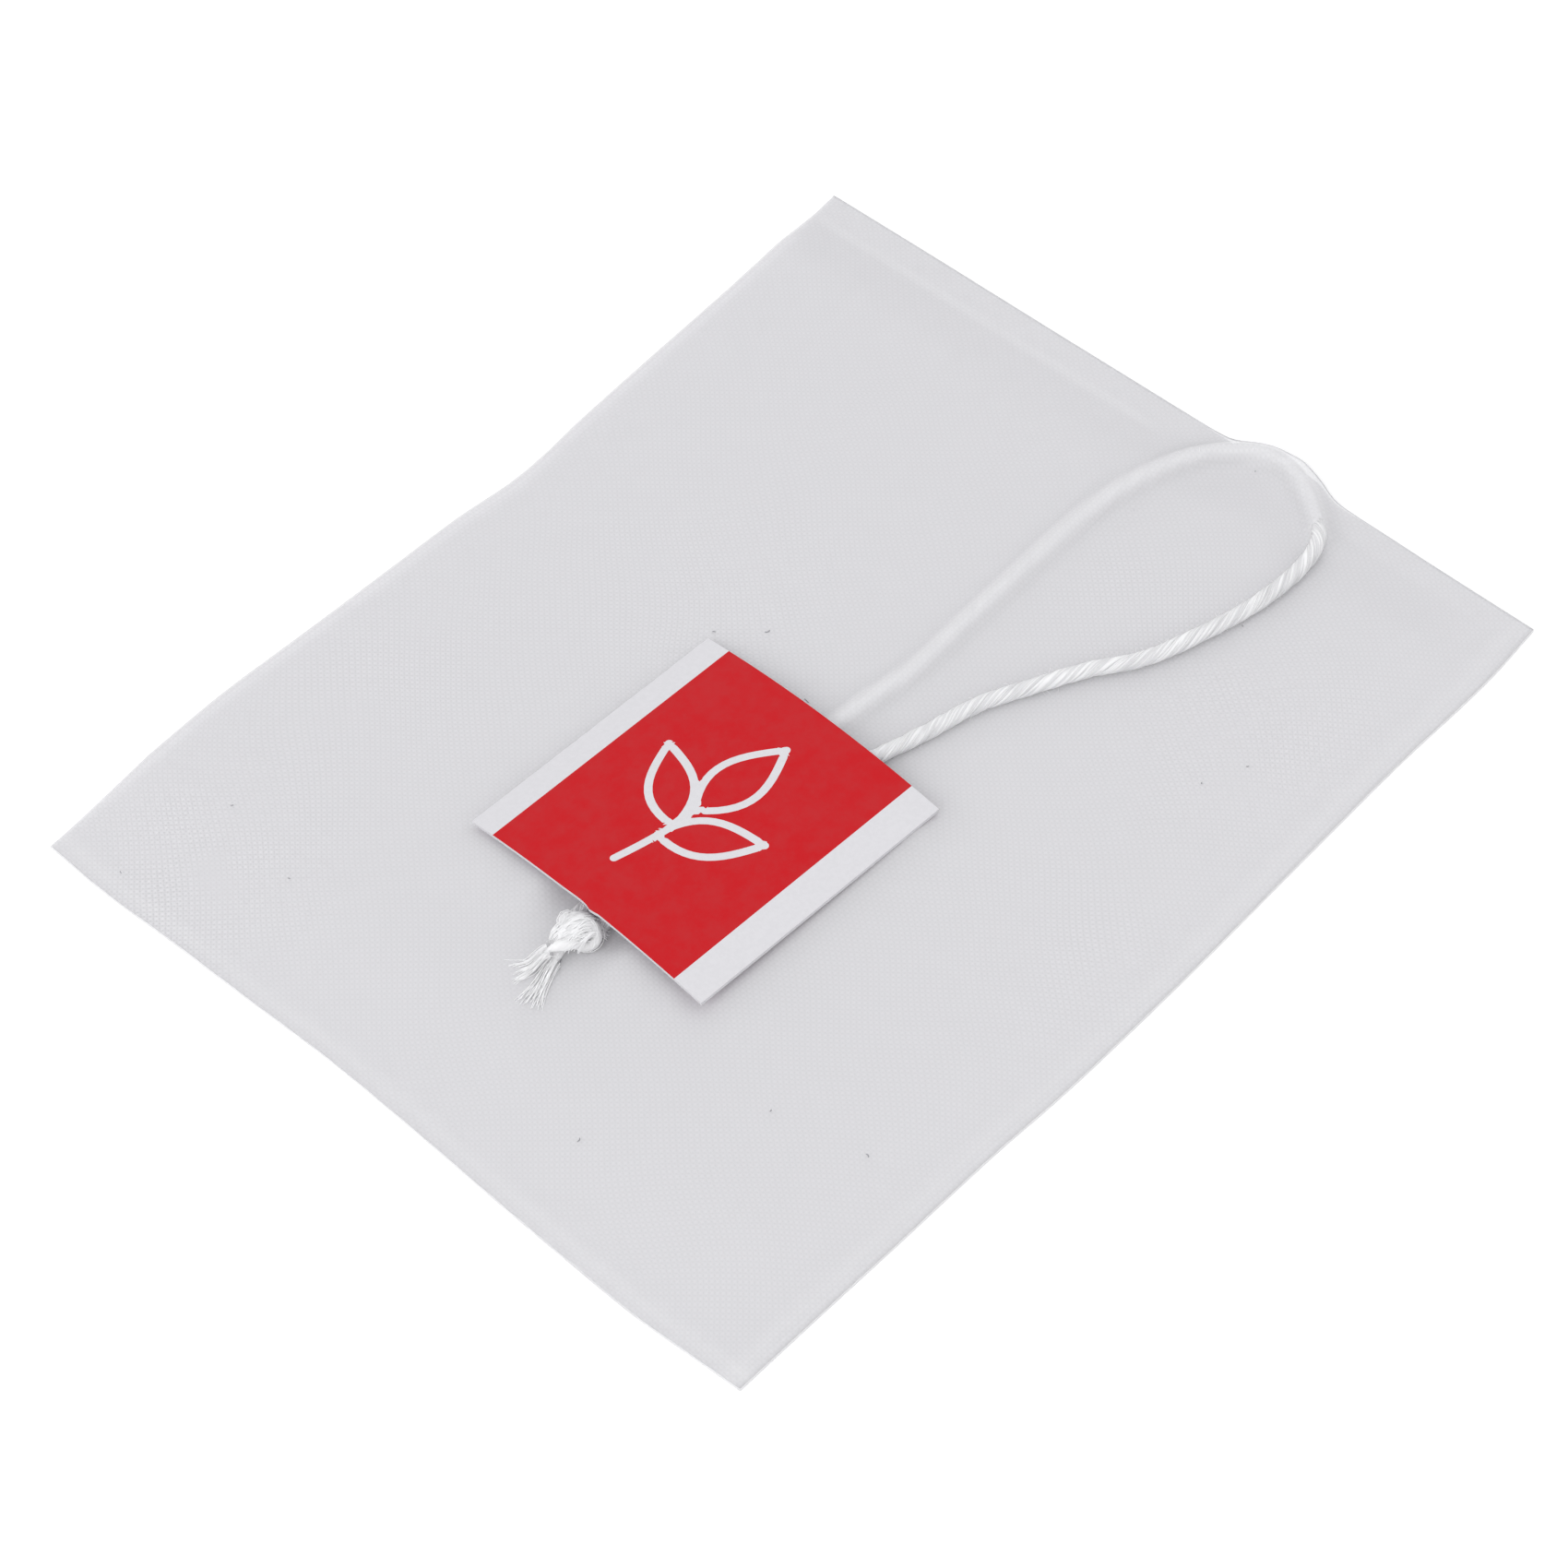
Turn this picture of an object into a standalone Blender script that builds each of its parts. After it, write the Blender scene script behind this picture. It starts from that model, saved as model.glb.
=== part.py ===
"""Flat heat-sealed tea filter bag of woven mesh, with a cotton string and a square paper tag.

The pouch is one sheet folded along -X, sealed along +X and across the +Y end, and open at the -Y end.
It lies on its back layer on z = 0. The string makes a closed loop: one strand lies on the front layer,
dips through a stitch hole near the sealed end, loops out past the end seam and comes back between the
layers, where the front layer tents over it. It leaves the pouch through a second stitch hole, which the
tag hides, and both strands end in the knot.
Metres, +Z up.
"""

import math

import bmesh
import bpy
from mathutils import Matrix, Vector, geometry

MM = 0.001

# Pouch
POUCH_WIDTH = 58.0 * MM
POUCH_LENGTH = 70.0 * MM
MESH_WALL = 0.15 * MM
LAYER_GAP = 0.25 * MM
RIM_GAP = 0.06 * MM
SEAM_WIDTH = 1.8 * MM
SEAM_EASE = 3.5 * MM
FOLD_LOFT = 0.35 * MM
FOLD_REACH = 6.0 * MM
FOLD_EDGE_LOW = 0.10 * MM
FOLD_EDGE_HIGH = 0.40 * MM
SETTLING = 0.15 * MM
TENT_HALF_WIDTH = 2.6 * MM
MOUTH_OVERCUT = 1.0 * MM
RIPPLES_ACROSS = 9
RIPPLES_ALONG = 7

# Where the sheet's columns lie, in mm from the fold and in tent half widths from each covered strand,
# and how many there are from one such place to the next
FOLD_COLUMNS = [0.0, 0.5, 1.5, 4.0]
TENT_EDGE = 0.9
TENT_CLEAR = 1.4
FOLD_SIDE_COLUMNS = 6
TENT_COLUMNS = 6
BETWEEN_COLUMNS = 3
SEAM_SIDE_COLUMNS = 4

# The sheet's rows: shares of its length from and to, and the number between; the last runs to the end seam
ROW_BANDS = [(0.0, 0.36, 7), (0.36, 0.50, 7), (0.50, 0.90, 10), (0.90, 1.0, 5)]

# How far each edge wanders outwards from the straight cut, in mm, at shares of its length
FOLD_WAVE = [
    (0.00, -0.20), (0.17, 0.48), (0.27, 0.05), (0.38, -0.38), (0.50, -0.85),
    (0.57, -1.60), (0.62, -1.42), (0.70, -1.15), (0.85, -0.60), (1.00, -0.15),
]
SEAM_WAVE = [
    (0.00, 0.10), (0.20, 0.60), (0.36, 1.20), (0.62, 0.85), (0.84, 0.60), (0.92, 0.90), (1.00, 0.20),
]
MOUTH_WAVE = [
    (0.00, 0.06), (0.09, 0.17), (0.27, -0.36), (0.47, -0.37), (0.69, -0.10), (0.87, 0.62), (1.00, 0.13),
]
END_WAVE = [(0.00, -0.26), (0.60, -0.50), (1.00, -0.17)]

# String
STRING_DIAMETER = 1.0 * MM
SEAT_GAP = 0.25 * MM
BORE_CLEARANCE = 0.22 * MM
STRING_STEP = 2.2 * MM
TUBE_RESOLUTION = 2

# The string's route: mm across from the pouch's middle, mm down from the sealed end, and how high it lies:
# 0 is between the layers and 1 is on the front layer
FRONT_RUN = [
    (1.50, 53.75, 1.0), (1.75, 49.5, 1.0), (2.35, 45.0, 1.0), (3.30, 40.0, 1.0), (4.65, 36.0, 1.0),
    (5.62, 33.4, 1.0), (6.65, 30.2, 1.0), (7.63, 26.6, 1.0), (9.26, 23.4, 1.0), (11.0, 20.3, 1.0),
    (13.0, 17.5, 1.0), (14.4, 13.9, 1.0), (15.4, 10.2, 1.0), (15.75, 7.0, 1.0),
]
LOOP_RUN = [
    (15.55, 4.8, 0.85), (15.0, 3.2, 0.35), (14.1, 1.9, 0.0), (12.95, 0.8, -0.05), (11.7, -0.05, -0.15),
    (10.2, -0.75, -0.3), (8.7, -0.85, -0.35), (7.4, -0.35, -0.1),
]
INNER_RUN = [
    (6.2, 0.8, 0.0), (4.6, 2.8, 0.0), (3.5, 5.6, 0.0), (2.65, 9.2, 0.0), (2.45, 13.0, 0.0),
    (2.5, 17.5, 0.0), (2.55, 22.5, 0.0), (2.6, 27.0, 0.0), (2.1, 30.6, 0.0), (1.8, 33.6, 0.0),
    (1.4, 37.0, 0.0), (1.05, 39.4, 0.1), (0.75, 41.4, 0.6),
]
TAG_RUN = [(0.5, 43.8, 1.0), (0.2, 48.0, 1.0), (0.0, 53.75, 1.0)]

# The stretches that pass through the front layer or the end seam and need a way cut for them
NEAR_WAY = FRONT_RUN[-1:] + LOOP_RUN[:6]
INNER_WAY = LOOP_RUN[-2:] + INNER_RUN + TAG_RUN[:1]

# Drops below the sealed end at which the front layer starts to rise over the string, and lies fully over it
NEAR_TENT_DROPS = (4.8 * MM, 3.0 * MM)
INNER_TENT_DROPS = (42.0 * MM, 39.2 * MM)

# Knot, tied in the string's two ends
KNOT_X = 0.75 * MM
KNOT_DROP = 55.15 * MM
KNOT_STRAND = 0.64 * MM
KNOT_UNIT = 0.40 * MM
KNOT_OPENING = 0.40
KNOT_TURN_POINTS = 36
KNOT_WEAVE = 1.1
KNOT_STEP = 0.35 * MM

# The two tails, in knot units from the knot's middle, from the knot outwards
HIGH_TAIL = [(0.0, -4.1, 1.0), (-1.3, -6.0, 0.4), (-2.7, -8.0, -0.9), (-4.0, -10.2, -1.1)]
LOW_TAIL = [(0.0, -4.1, -1.1), (1.1, -6.2, -1.1), (1.3, -8.5, -1.1), (0.6, -11.5, -1.1)]

# Tag
TAG_SIDE = 19.5 * MM
TAG_THICKNESS = 0.25 * MM
TAG_X = 1.15 * MM
TAG_DROP = 43.65 * MM
TAG_TURN = math.radians(-2.2)
TAG_CREST = 2.2 * MM
TAG_BOW_RADIUS = 50.0 * MM
TAG_BOW_ALLOWANCE = 0.17 * MM
TAG_KNOT_LIFT = 0.35 * MM
BAND_NEAR_FOLD = 1.7 * MM
BAND_NEAR_SEAM = 2.35 * MM
BAND_COLUMNS = 9

MESH_WHITE = (0.72, 0.71, 0.73)
COTTON_WHITE = (0.80, 0.80, 0.80)
PAPER_WHITE = (0.78, 0.77, 0.79)
BAND_RED = (0.60, 0.022, 0.028)

# Heights of the front layer's outer face and of the string's centre line inside and outside the pouch
FRONT_Z = 2 * MESH_WALL + LAYER_GAP
INSIDE_Z = MESH_WALL + SEAT_GAP + STRING_DIAMETER / 2
OUTSIDE_Z = FRONT_Z + SEAT_GAP + STRING_DIAMETER / 2
SEALED_END_Y = POUCH_LENGTH / 2


def eased(share):
    """0 below 0 and 1 above 1, with a level start and end."""
    share = min(max(share, 0.0), 1.0)
    return share * share * (3 - 2 * share)


def value_along(points, at):
    """The height at a share of the way, on a smooth curve through (share, height) points."""
    i = 0
    while i < len(points) - 2 and at > points[i + 1][0]:
        i += 1
    before, after = points[max(i - 1, 0)], points[min(i + 2, len(points) - 1)]
    (x0, y0), (x1, y1) = points[i], points[i + 1]
    start_slope = (y1 - before[1]) / (x1 - before[0]) * (x1 - x0)
    end_slope = (after[1] - y0) / (after[0] - x0) * (x1 - x0)
    t = (at - x0) / (x1 - x0)
    rise = t * t * (3 - 2 * t)
    return y0 + (y1 - y0) * rise + start_slope * t * (1 - t) ** 2 - end_slope * t * t * (1 - t)


def fold_x(share):
    return -POUCH_WIDTH / 2 - value_along(FOLD_WAVE, share) * MM


def seam_x(share):
    return POUCH_WIDTH / 2 + value_along(SEAM_WAVE, share) * MM


def mouth_y(share):
    return -POUCH_LENGTH / 2 - value_along(MOUTH_WAVE, share) * MM


def end_y(share):
    return SEALED_END_Y + value_along(END_WAVE, share) * MM


def smooth_line(points, step):
    """Points about a step apart on a smooth curve through the given ones."""
    line = []
    for i, (start, end) in enumerate(zip(points, points[1:])):
        before, after = points[max(i - 1, 0)], points[min(i + 2, len(points) - 1)]
        reach = (end - start).length / 3
        leaving = start + (end - before).normalized() * reach
        arriving = end - (after - start).normalized() * reach
        count = max(1, round((end - start).length / step))
        line += geometry.interpolate_bezier(start, leaving, arriving, end, count + 1)[:-1]
    return line + [points[-1]]


def route_points(run):
    """The route's points in metres."""
    rise = OUTSIDE_Z - INSIDE_Z
    return [Vector((x * MM, SEALED_END_Y - drop * MM, INSIDE_Z + lift * rise)) for x, drop, lift in run]


def string_line():
    """The string's centre line, from the knot over the front layer, round the end and back inside."""
    return smooth_line(route_points(FRONT_RUN + LOOP_RUN + INNER_RUN + TAG_RUN), STRING_STEP)


def way_line(run):
    """A closely spaced centre line of one of the string's ways, its end nearest the sealed end first."""
    line = smooth_line(route_points(run), STRING_STEP / 2)
    return line if line[0].y > line[-1].y else line[::-1]


def strand_x(y, strand):
    """Where a covered strand lies across the pouch at this y and, beyond its ends, where it ends."""
    for upper, lower in zip(strand, strand[1:]):
        if lower.y <= y <= upper.y:
            return lower.x + (upper.x - lower.x) * (y - lower.y) / (upper.y - lower.y)
    return strand[0].x if y > strand[0].y else strand[-1].x


def tent_rise(x, y, strand, drops):
    """How far the front layer is lifted over a covered strand at a place, from 0 to 1."""
    aside = min(abs(x - strand_x(y, strand)) / TENT_HALF_WIDTH, 1.0)
    none, full = drops
    lifted = eased((SEALED_END_Y - y - none) / (full - none))
    return (0.5 + 0.5 * math.cos(math.pi * aside)) * lifted


def lying_gap(x, y, across, along):
    """The clear height between the two layers where nothing lies between them; none in the seams."""
    to_fold = x - fold_x(along)
    to_seam = seam_x(along) - SEAM_WIDTH - x
    to_end = end_y(across) - SEAM_WIDTH - y
    if min(to_seam, to_end) < -RIM_GAP:
        return 0.0
    first = math.sin(RIPPLES_ACROSS * across + along)
    second = math.sin(RIPPLES_ALONG * along - across)
    lift = FOLD_LOFT * math.exp(-((to_fold / FOLD_REACH) ** 2)) + SETTLING * (first * second - 1) / 2
    loose = eased(to_seam / SEAM_EASE) * eased(to_end / SEAM_EASE)
    return RIM_GAP + (LAYER_GAP - RIM_GAP + lift) * loose


def spread(start, end, count):
    """Places evenly spaced from start to end, without the end."""
    return [start + (end - start) * i / count for i in range(count)]


def column_places(along, inner_x, near_x):
    """Where the columns cross a row: close together at the fold and along the two covered strands."""
    fold, seam = fold_x(along), seam_x(along)
    edge, clear = TENT_EDGE * TENT_HALF_WIDTH, TENT_CLEAR * TENT_HALF_WIDTH
    places = [fold + step * MM for step in FOLD_COLUMNS[:-1]]
    places += spread(fold + FOLD_COLUMNS[-1] * MM, inner_x - clear, FOLD_SIDE_COLUMNS)
    places += [inner_x - clear] + spread(inner_x - edge, inner_x + edge, TENT_COLUMNS) + [inner_x + edge]
    places += spread(inner_x + clear, near_x - edge, BETWEEN_COLUMNS)
    places += spread(near_x - edge, near_x + edge, TENT_COLUMNS)
    places += spread(near_x + edge, seam - SEAM_WIDTH, SEAM_SIDE_COLUMNS)
    return places + [seam - SEAM_WIDTH, seam]


def row_shares():
    """Shares of the length at which the rows lie; the last three are in the end seam."""
    sealed = 1.0 - SEAM_WIDTH / POUCH_LENGTH
    shares = [share for start, end, count in ROW_BANDS for share in spread(start, min(end, sealed), count)]
    return shares + [sealed, (1.0 + sealed) / 2, 1.0]


def pouch_places():
    """Rows of (x, y, gap between the layers) over the whole pouch, out to the seams' edges."""
    inner, near = way_line(INNER_WAY), way_line(NEAR_WAY)
    full = STRING_DIAMETER + 2 * SEAT_GAP
    rows = []
    for along in row_shares():
        middle_y = mouth_y(0.5) * (1 - along) + end_y(0.5) * along
        fold, seam = fold_x(along), seam_x(along)
        row = []
        for x in column_places(along, strand_x(middle_y, inner), strand_x(middle_y, near)):
            across = (x - fold) / (seam - fold)
            y = mouth_y(across) * (1 - along) + end_y(across) * along
            lying = lying_gap(x, y, across, along)
            rise = max(tent_rise(x, y, inner, INNER_TENT_DROPS), tent_rise(x, y, near, NEAR_TENT_DROPS))
            row.append((x, y, lying + (full - lying) * rise))
        rows.append(row)
    return rows


def material(name, colour, roughness, alpha=1.0):
    made = bpy.data.materials.new(name)
    made.use_nodes = True
    shader = made.node_tree.nodes["Principled BSDF"]
    shader.inputs["Base Color"].default_value = (*colour, 1.0)
    shader.inputs["Roughness"].default_value = roughness
    shader.inputs["Metallic"].default_value = 0.0
    shader.inputs["Alpha"].default_value = alpha
    made.diffuse_color = (*colour, alpha)
    return made


def grid(bm, columns, rows):
    """A flat grid whose corners carry their column and row, for the caller to place."""
    cell = bm.verts.layers.int.new("cell")
    for corner in bmesh.ops.create_grid(bm, x_segments=columns - 1, y_segments=rows - 1, size=1.0)["verts"]:
        column = round((corner.co.x + 1) / 2 * (columns - 1))
        row = round((corner.co.y + 1) / 2 * (rows - 1))
        corner[cell] = row * columns + column
    return cell


def add_object(name, data, collection, frame=None, finishes=()):
    made = bpy.data.objects.new(name, data)
    made.parent = frame
    collection.objects.link(made)
    for finish in finishes:
        data.materials.append(finish)
    return made


def as_cutter(made):
    made.hide_render = True
    made.display_type = "WIRE"
    return made


def slab(name, collection, floor, ceiling):
    """A closed body between two height fields, each a list of rows of points."""
    rows, columns = len(floor), len(floor[0])
    bm = bmesh.new()
    cell = grid(bm, columns, rows)
    lifted = bmesh.ops.extrude_face_region(bm, geom=bm.faces[:])["geom"]
    upper = {item for item in lifted if isinstance(item, bmesh.types.BMVert)}
    for corner in bm.verts:
        row, column = divmod(corner[cell], columns)
        corner.co = (ceiling if corner in upper else floor)[row][column]
    bmesh.ops.recalc_face_normals(bm, faces=bm.faces[:])
    mesh = bpy.data.meshes.new(name)
    bm.to_mesh(mesh)
    bm.free()
    return add_object(name, mesh, collection)


def tube(name, points, diameter, collection):
    """A round cord along a line of points, with closed ends."""
    data = bpy.data.curves.new(name, "CURVE")
    data.dimensions = "3D"
    data.bevel_depth = diameter / 2
    data.bevel_resolution = TUBE_RESOLUTION
    data.use_fill_caps = True
    spline = data.splines.new("POLY")
    spline.points.add(len(points) - 1)
    for corner, point in zip(spline.points, points):
        corner.co = (*point, 1.0)
    spline.use_smooth = True
    return add_object(name, data, collection)


def tube_cutter(name, points, diameter, collection):
    """The same tube as a welded mesh, for a Boolean."""
    guide = tube(name, points, diameter, collection)
    bpy.context.view_layer.update()
    evaluated = guide.evaluated_get(bpy.context.evaluated_depsgraph_get())
    mesh = bpy.data.meshes.new_from_object(evaluated)
    bpy.data.objects.remove(guide)
    bm = bmesh.new()
    bm.from_mesh(mesh)
    bmesh.ops.remove_doubles(bm, verts=bm.verts[:], dist=0.001 * MM)
    bmesh.ops.recalc_face_normals(bm, faces=bm.faces[:])
    bm.to_mesh(mesh)
    bm.free()
    return as_cutter(add_object(name, mesh, collection))


def cut(target, cutter):
    difference = target.modifiers.new(cutter.name, "BOOLEAN")
    difference.operation = "DIFFERENCE"
    difference.object = cutter


def build_pouch(parts, cutters, frame):
    """The folded and sealed sheet: its outer body, less the space between layers and the string's ways."""
    places = pouch_places()
    sealed_rows = sum(1 for share in row_shares() if share > 1.0 - SEAM_WIDTH / POUCH_LENGTH)
    under, over = [], []
    for row in places:
        under.append([Vector((x, y, 0.0)) for x, y, _ in row])
        over.append([Vector((x, y, 2 * MESH_WALL + gap)) for x, y, gap in row])
        under[-1][0].z = FOLD_EDGE_LOW
        over[-1][0].z = min(over[-1][0].z, FOLD_EDGE_HIGH)
    pouch = slab("mesh_pouch", parts, under, over)
    pouch.parent = frame
    pouch.data.materials.append(material("nylon_mesh", MESH_WHITE, 0.45, 0.8))

    floor, ceiling = [], []
    crease_z = (FOLD_EDGE_LOW + FOLD_EDGE_HIGH) / 2
    for i, row in enumerate(places[:-sealed_rows]):
        outwards = MOUTH_OVERCUT if i == 0 else 0.0
        floor.append([Vector((x, y - outwards, MESH_WALL)) for x, y, _ in row[:-1]])
        ceiling.append([Vector((x, y - outwards, MESH_WALL + gap)) for x, y, gap in row[:-1]])
        floor[-1][0] += Vector((MESH_WALL, 0, 0))
        ceiling[-1][0] += Vector((MESH_WALL, 0, 0))
        floor[-1][0].z = crease_z - RIM_GAP / 2
        ceiling[-1][0].z = crease_z + RIM_GAP / 2
    hollow = as_cutter(slab("space_between_layers", cutters, floor, ceiling))
    way_width = STRING_DIAMETER + 2 * BORE_CLEARANCE
    near_way = tube_cutter("near_way", way_line(NEAR_WAY), way_width, cutters)
    inner_way = tube_cutter("inner_way", way_line(INNER_WAY), way_width, cutters)
    for cutter in (hollow, near_way, inner_way):
        cutter.parent = frame
        cut(pouch, cutter)
    pouch.data.shade_smooth()
    pouch.data.set_sharp_from_angle(angle=math.radians(40))
    return pouch


def build_string(parts, frame):
    string = tube("string", string_line(), STRING_DIAMETER, parts)
    string.parent = frame
    string.data.materials.append(material("cotton_string", COTTON_WHITE, 0.9))
    return string


def knot_line():
    """An overhand turn in knot units: a trefoil opened at its -Y lobe, whose ends cross and become tails."""
    first, last = math.pi + KNOT_OPENING, 3 * math.pi - KNOT_OPENING
    turns = []
    for i in range(KNOT_TURN_POINTS):
        t = first + (last - first) * i / (KNOT_TURN_POINTS - 1)
        x = math.sin(t) + 2 * math.sin(2 * t)
        y = math.cos(t) - 2 * math.cos(2 * t)
        turns.append((x, y, -KNOT_WEAVE * math.sin(3 * t)))
    return HIGH_TAIL[::-1] + turns + LOW_TAIL


def build_knot(parts, frame):
    middle_z = FRONT_Z + SEAT_GAP + KNOT_WEAVE * KNOT_UNIT + KNOT_STRAND / 2
    middle = Vector((KNOT_X, SEALED_END_Y - KNOT_DROP, middle_z))
    points = [middle + Vector(point) * KNOT_UNIT for point in knot_line()]
    knot = tube("string_knot", smooth_line(points, KNOT_STEP), KNOT_STRAND, parts)
    knot.parent = frame
    knot.data.materials.append(material("cotton_knot", COTTON_WHITE, 0.95))
    return knot


def tag_height(a, b):
    """Height of the tag's underside: bowed over the two strands and propped up by the knot at its -Y edge."""
    crest = OUTSIDE_Z + STRING_DIAMETER / 2 + SEAT_GAP + TAG_BOW_ALLOWANCE
    sag = (a - TAG_CREST) ** 2 / (2 * TAG_BOW_RADIUS)
    return crest - sag + TAG_KNOT_LIFT * (0.5 - b / TAG_SIDE)


def build_tag(parts, frame):
    """The square card, with the printed band on its upper face between two bare margins."""
    half = TAG_SIDE / 2
    band = spread(-half + BAND_NEAR_FOLD, half - BAND_NEAR_SEAM, BAND_COLUMNS)
    columns = [-half] + band + [half - BAND_NEAR_SEAM, half]
    rows = [-half, half]
    bm = bmesh.new()
    cell = grid(bm, len(columns), len(rows))
    turn = Matrix.Rotation(TAG_TURN, 3, "Z")
    for corner in bm.verts:
        row, column = divmod(corner[cell], len(columns))
        a, b = columns[column], rows[row]
        corner.co = turn @ Vector((a, b, tag_height(a, b)))
        corner.co += Vector((TAG_X, SEALED_END_Y - TAG_DROP, 0))
    for face in bm.faces:
        column = min(corner[cell] % len(columns) for corner in face.verts)
        face.material_index = 1 if 0 < column <= BAND_COLUMNS else 0
    mesh = bpy.data.meshes.new("paper_tag")
    bm.to_mesh(mesh)
    bm.free()
    finishes = (material("tag_paper", PAPER_WHITE, 0.45), material("tag_red_band", BAND_RED, 0.35))
    tag = add_object("paper_tag", mesh, parts, frame, finishes)
    card = tag.modifiers.new("card", "SOLIDIFY")
    card.thickness = TAG_THICKNESS
    card.offset = 1.0
    mesh.shade_smooth()
    mesh.set_sharp_from_angle(angle=math.radians(40))
    return tag


def pouch_middle():
    """The middle of the pouch's outline, which becomes the origin."""
    shares = [i / 100 for i in range(101)]
    left, right = min(fold_x(s) for s in shares), max(seam_x(s) for s in shares)
    near, far = min(mouth_y(s) for s in shares), max(end_y(s) for s in shares)
    return Vector(((left + right) / 2, (near + far) / 2, 0.0))


def main():
    for old in list(bpy.data.objects):
        bpy.data.objects.remove(old, do_unlink=True)
    parts = bpy.data.collections.new("tea_filter_bag")
    cutters = bpy.data.collections.new("cutters")
    for collection in (parts, cutters):
        bpy.context.scene.collection.children.link(collection)
    frame = add_object("bag_frame", None, parts)
    frame.location = -pouch_middle()
    build_pouch(parts, cutters, frame)
    build_string(parts, frame)
    build_knot(parts, frame)
    build_tag(parts, frame)


main()
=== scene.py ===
"""A flat woven tea filter bag with its string, knot and paper tag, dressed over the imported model.

Lengths in the lists and functions below are in millimetres on the pouch: x from its middle towards the
long seam, y towards the sealed end, or a drop down from that end. MODEL_MIDDLE takes them to the model's
origin, so that every piece lies on the solids.
"""

import math
import random

import bmesh
import bpy
import numpy as np
from bpy.props import FloatProperty, FloatVectorProperty, IntProperty, PointerProperty
from bpy.types import Operator, Panel, PropertyGroup
from mathutils import Matrix, Quaternion, Vector, geometry, noise


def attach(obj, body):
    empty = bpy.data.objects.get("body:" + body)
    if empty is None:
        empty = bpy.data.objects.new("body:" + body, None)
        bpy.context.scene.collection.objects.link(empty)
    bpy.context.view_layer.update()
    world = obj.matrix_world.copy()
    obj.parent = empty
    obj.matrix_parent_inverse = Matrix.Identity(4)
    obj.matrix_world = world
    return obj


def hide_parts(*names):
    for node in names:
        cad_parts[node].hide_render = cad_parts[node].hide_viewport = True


bl_info = {
    "name": "Tea filter bag",
    "version": (1, 0, 0),
    "blender": (4, 5, 0),
    "location": "View3D > Sidebar > Tea bag",
    "description": "Makes a flat mesh tea filter bag with a looped cotton string and a paper tag",
    "category": "Add Mesh",
}

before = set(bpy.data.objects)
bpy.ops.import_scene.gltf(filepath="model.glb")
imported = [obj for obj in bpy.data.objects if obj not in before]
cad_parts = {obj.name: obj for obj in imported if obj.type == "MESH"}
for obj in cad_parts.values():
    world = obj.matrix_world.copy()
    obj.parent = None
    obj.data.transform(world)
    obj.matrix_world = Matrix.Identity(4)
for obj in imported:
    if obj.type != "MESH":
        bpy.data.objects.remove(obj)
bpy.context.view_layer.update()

MM = 0.001
PER_SQUARE_CM = 1e4
FULL_TURN = 2 * math.pi
# The widest angle that a draw gives
ROUND = 6.283
BODY = "root"

# The pouch's outline: how far each edge wanders outwards from the straight cut at shares of its length
FOLD_WAVE = [
    (0.000, -0.08), (0.071, 0.02), (0.143, 0.17), (0.214, 0.18), (0.300, -0.22), (0.414, -0.71),
    (0.486, -1.01), (0.543, -1.50), (0.586, -1.51), (0.643, -1.19), (0.757, -0.88), (0.871, -0.62),
    (1.000, -0.00),
]
SEAM_WAVE = [
    (0.000, 0.01), (0.100, 0.14), (0.186, 0.29), (0.243, 0.35), (0.300, 0.44), (0.357, 0.66),
    (0.414, 0.77), (0.529, 0.77), (0.700, 0.52), (0.814, 0.39), (0.929, 0.48), (1.000, 0.14),
]
MOUTH_WAVE = [
    (0.000, 0.12), (0.086, 0.27), (0.190, 0.08), (0.293, -0.03), (0.431, -0.21), (0.569, 0.00),
    (0.672, 0.25), (0.776, 0.43), (0.862, 0.52), (0.931, 0.32), (1.000, 0.10),
]
END_WAVE = [
    (0.000, -0.20), (0.155, -0.13), (0.328, -0.10), (0.500, -0.04), (0.603, -0.04), (0.776, 0.14),
    (0.879, 0.07), (1.000, 0.01),
]

# The string's route: across from the pouch's middle, down from the sealed end, and how high it lies:
# 0 is between the layers and 1 is on the front layer
FRONT_RUN = [
    (1.50, 53.75, 1.0), (1.75, 49.5, 1.0), (2.35, 45.0, 1.0), (3.30, 40.0, 1.0), (4.65, 36.0, 1.0),
    (5.62, 33.4, 1.0), (6.65, 30.2, 1.0), (7.63, 26.6, 1.0), (9.26, 23.4, 1.0), (11.0, 20.3, 1.0),
    (13.0, 17.5, 1.0), (14.4, 13.9, 1.0), (15.4, 10.2, 1.0), (15.75, 7.0, 1.0),
]
LOOP_RUN = [
    (15.55, 4.8, 0.85), (14.95, 3.25, 0.35), (13.95, 2.2, 0.0), (12.75, 1.25, -0.05), (11.5, 0.48, -0.15),
    (10.1, -0.2, -0.3), (8.7, -0.3, -0.35), (7.4, 0.15, -0.1),
]
INNER_RUN = [
    (6.2, 1.05, 0.0), (4.6, 2.9, 0.0), (3.5, 5.6, 0.0), (2.65, 9.2, 0.0), (2.45, 13.0, 0.0),
    (2.5, 17.5, 0.0), (2.55, 22.5, 0.0), (2.6, 27.0, 0.0), (2.1, 30.6, 0.0), (1.8, 33.6, 0.0),
    (1.4, 37.0, 0.0), (1.05, 39.4, 0.1), (0.75, 41.4, 0.6),
]
TAG_RUN = [(0.5, 43.8, 1.0), (0.2, 48.0, 1.0), (0.0, 53.75, 1.0)]
# The end's edge bulges over the loop's tip: how far, and where
TIP_PULL = 0.86
TIP_X = 9.6
TIP_REACH = 3.0
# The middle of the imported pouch's outline, which is the model's origin
MODEL_MIDDLE = (0.3630, -0.3954, 0.0)
# How high the string's centre line lies between the layers and on the front layer
INSIDE_Z = 0.90
OUTSIDE_Z = 1.30

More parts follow.
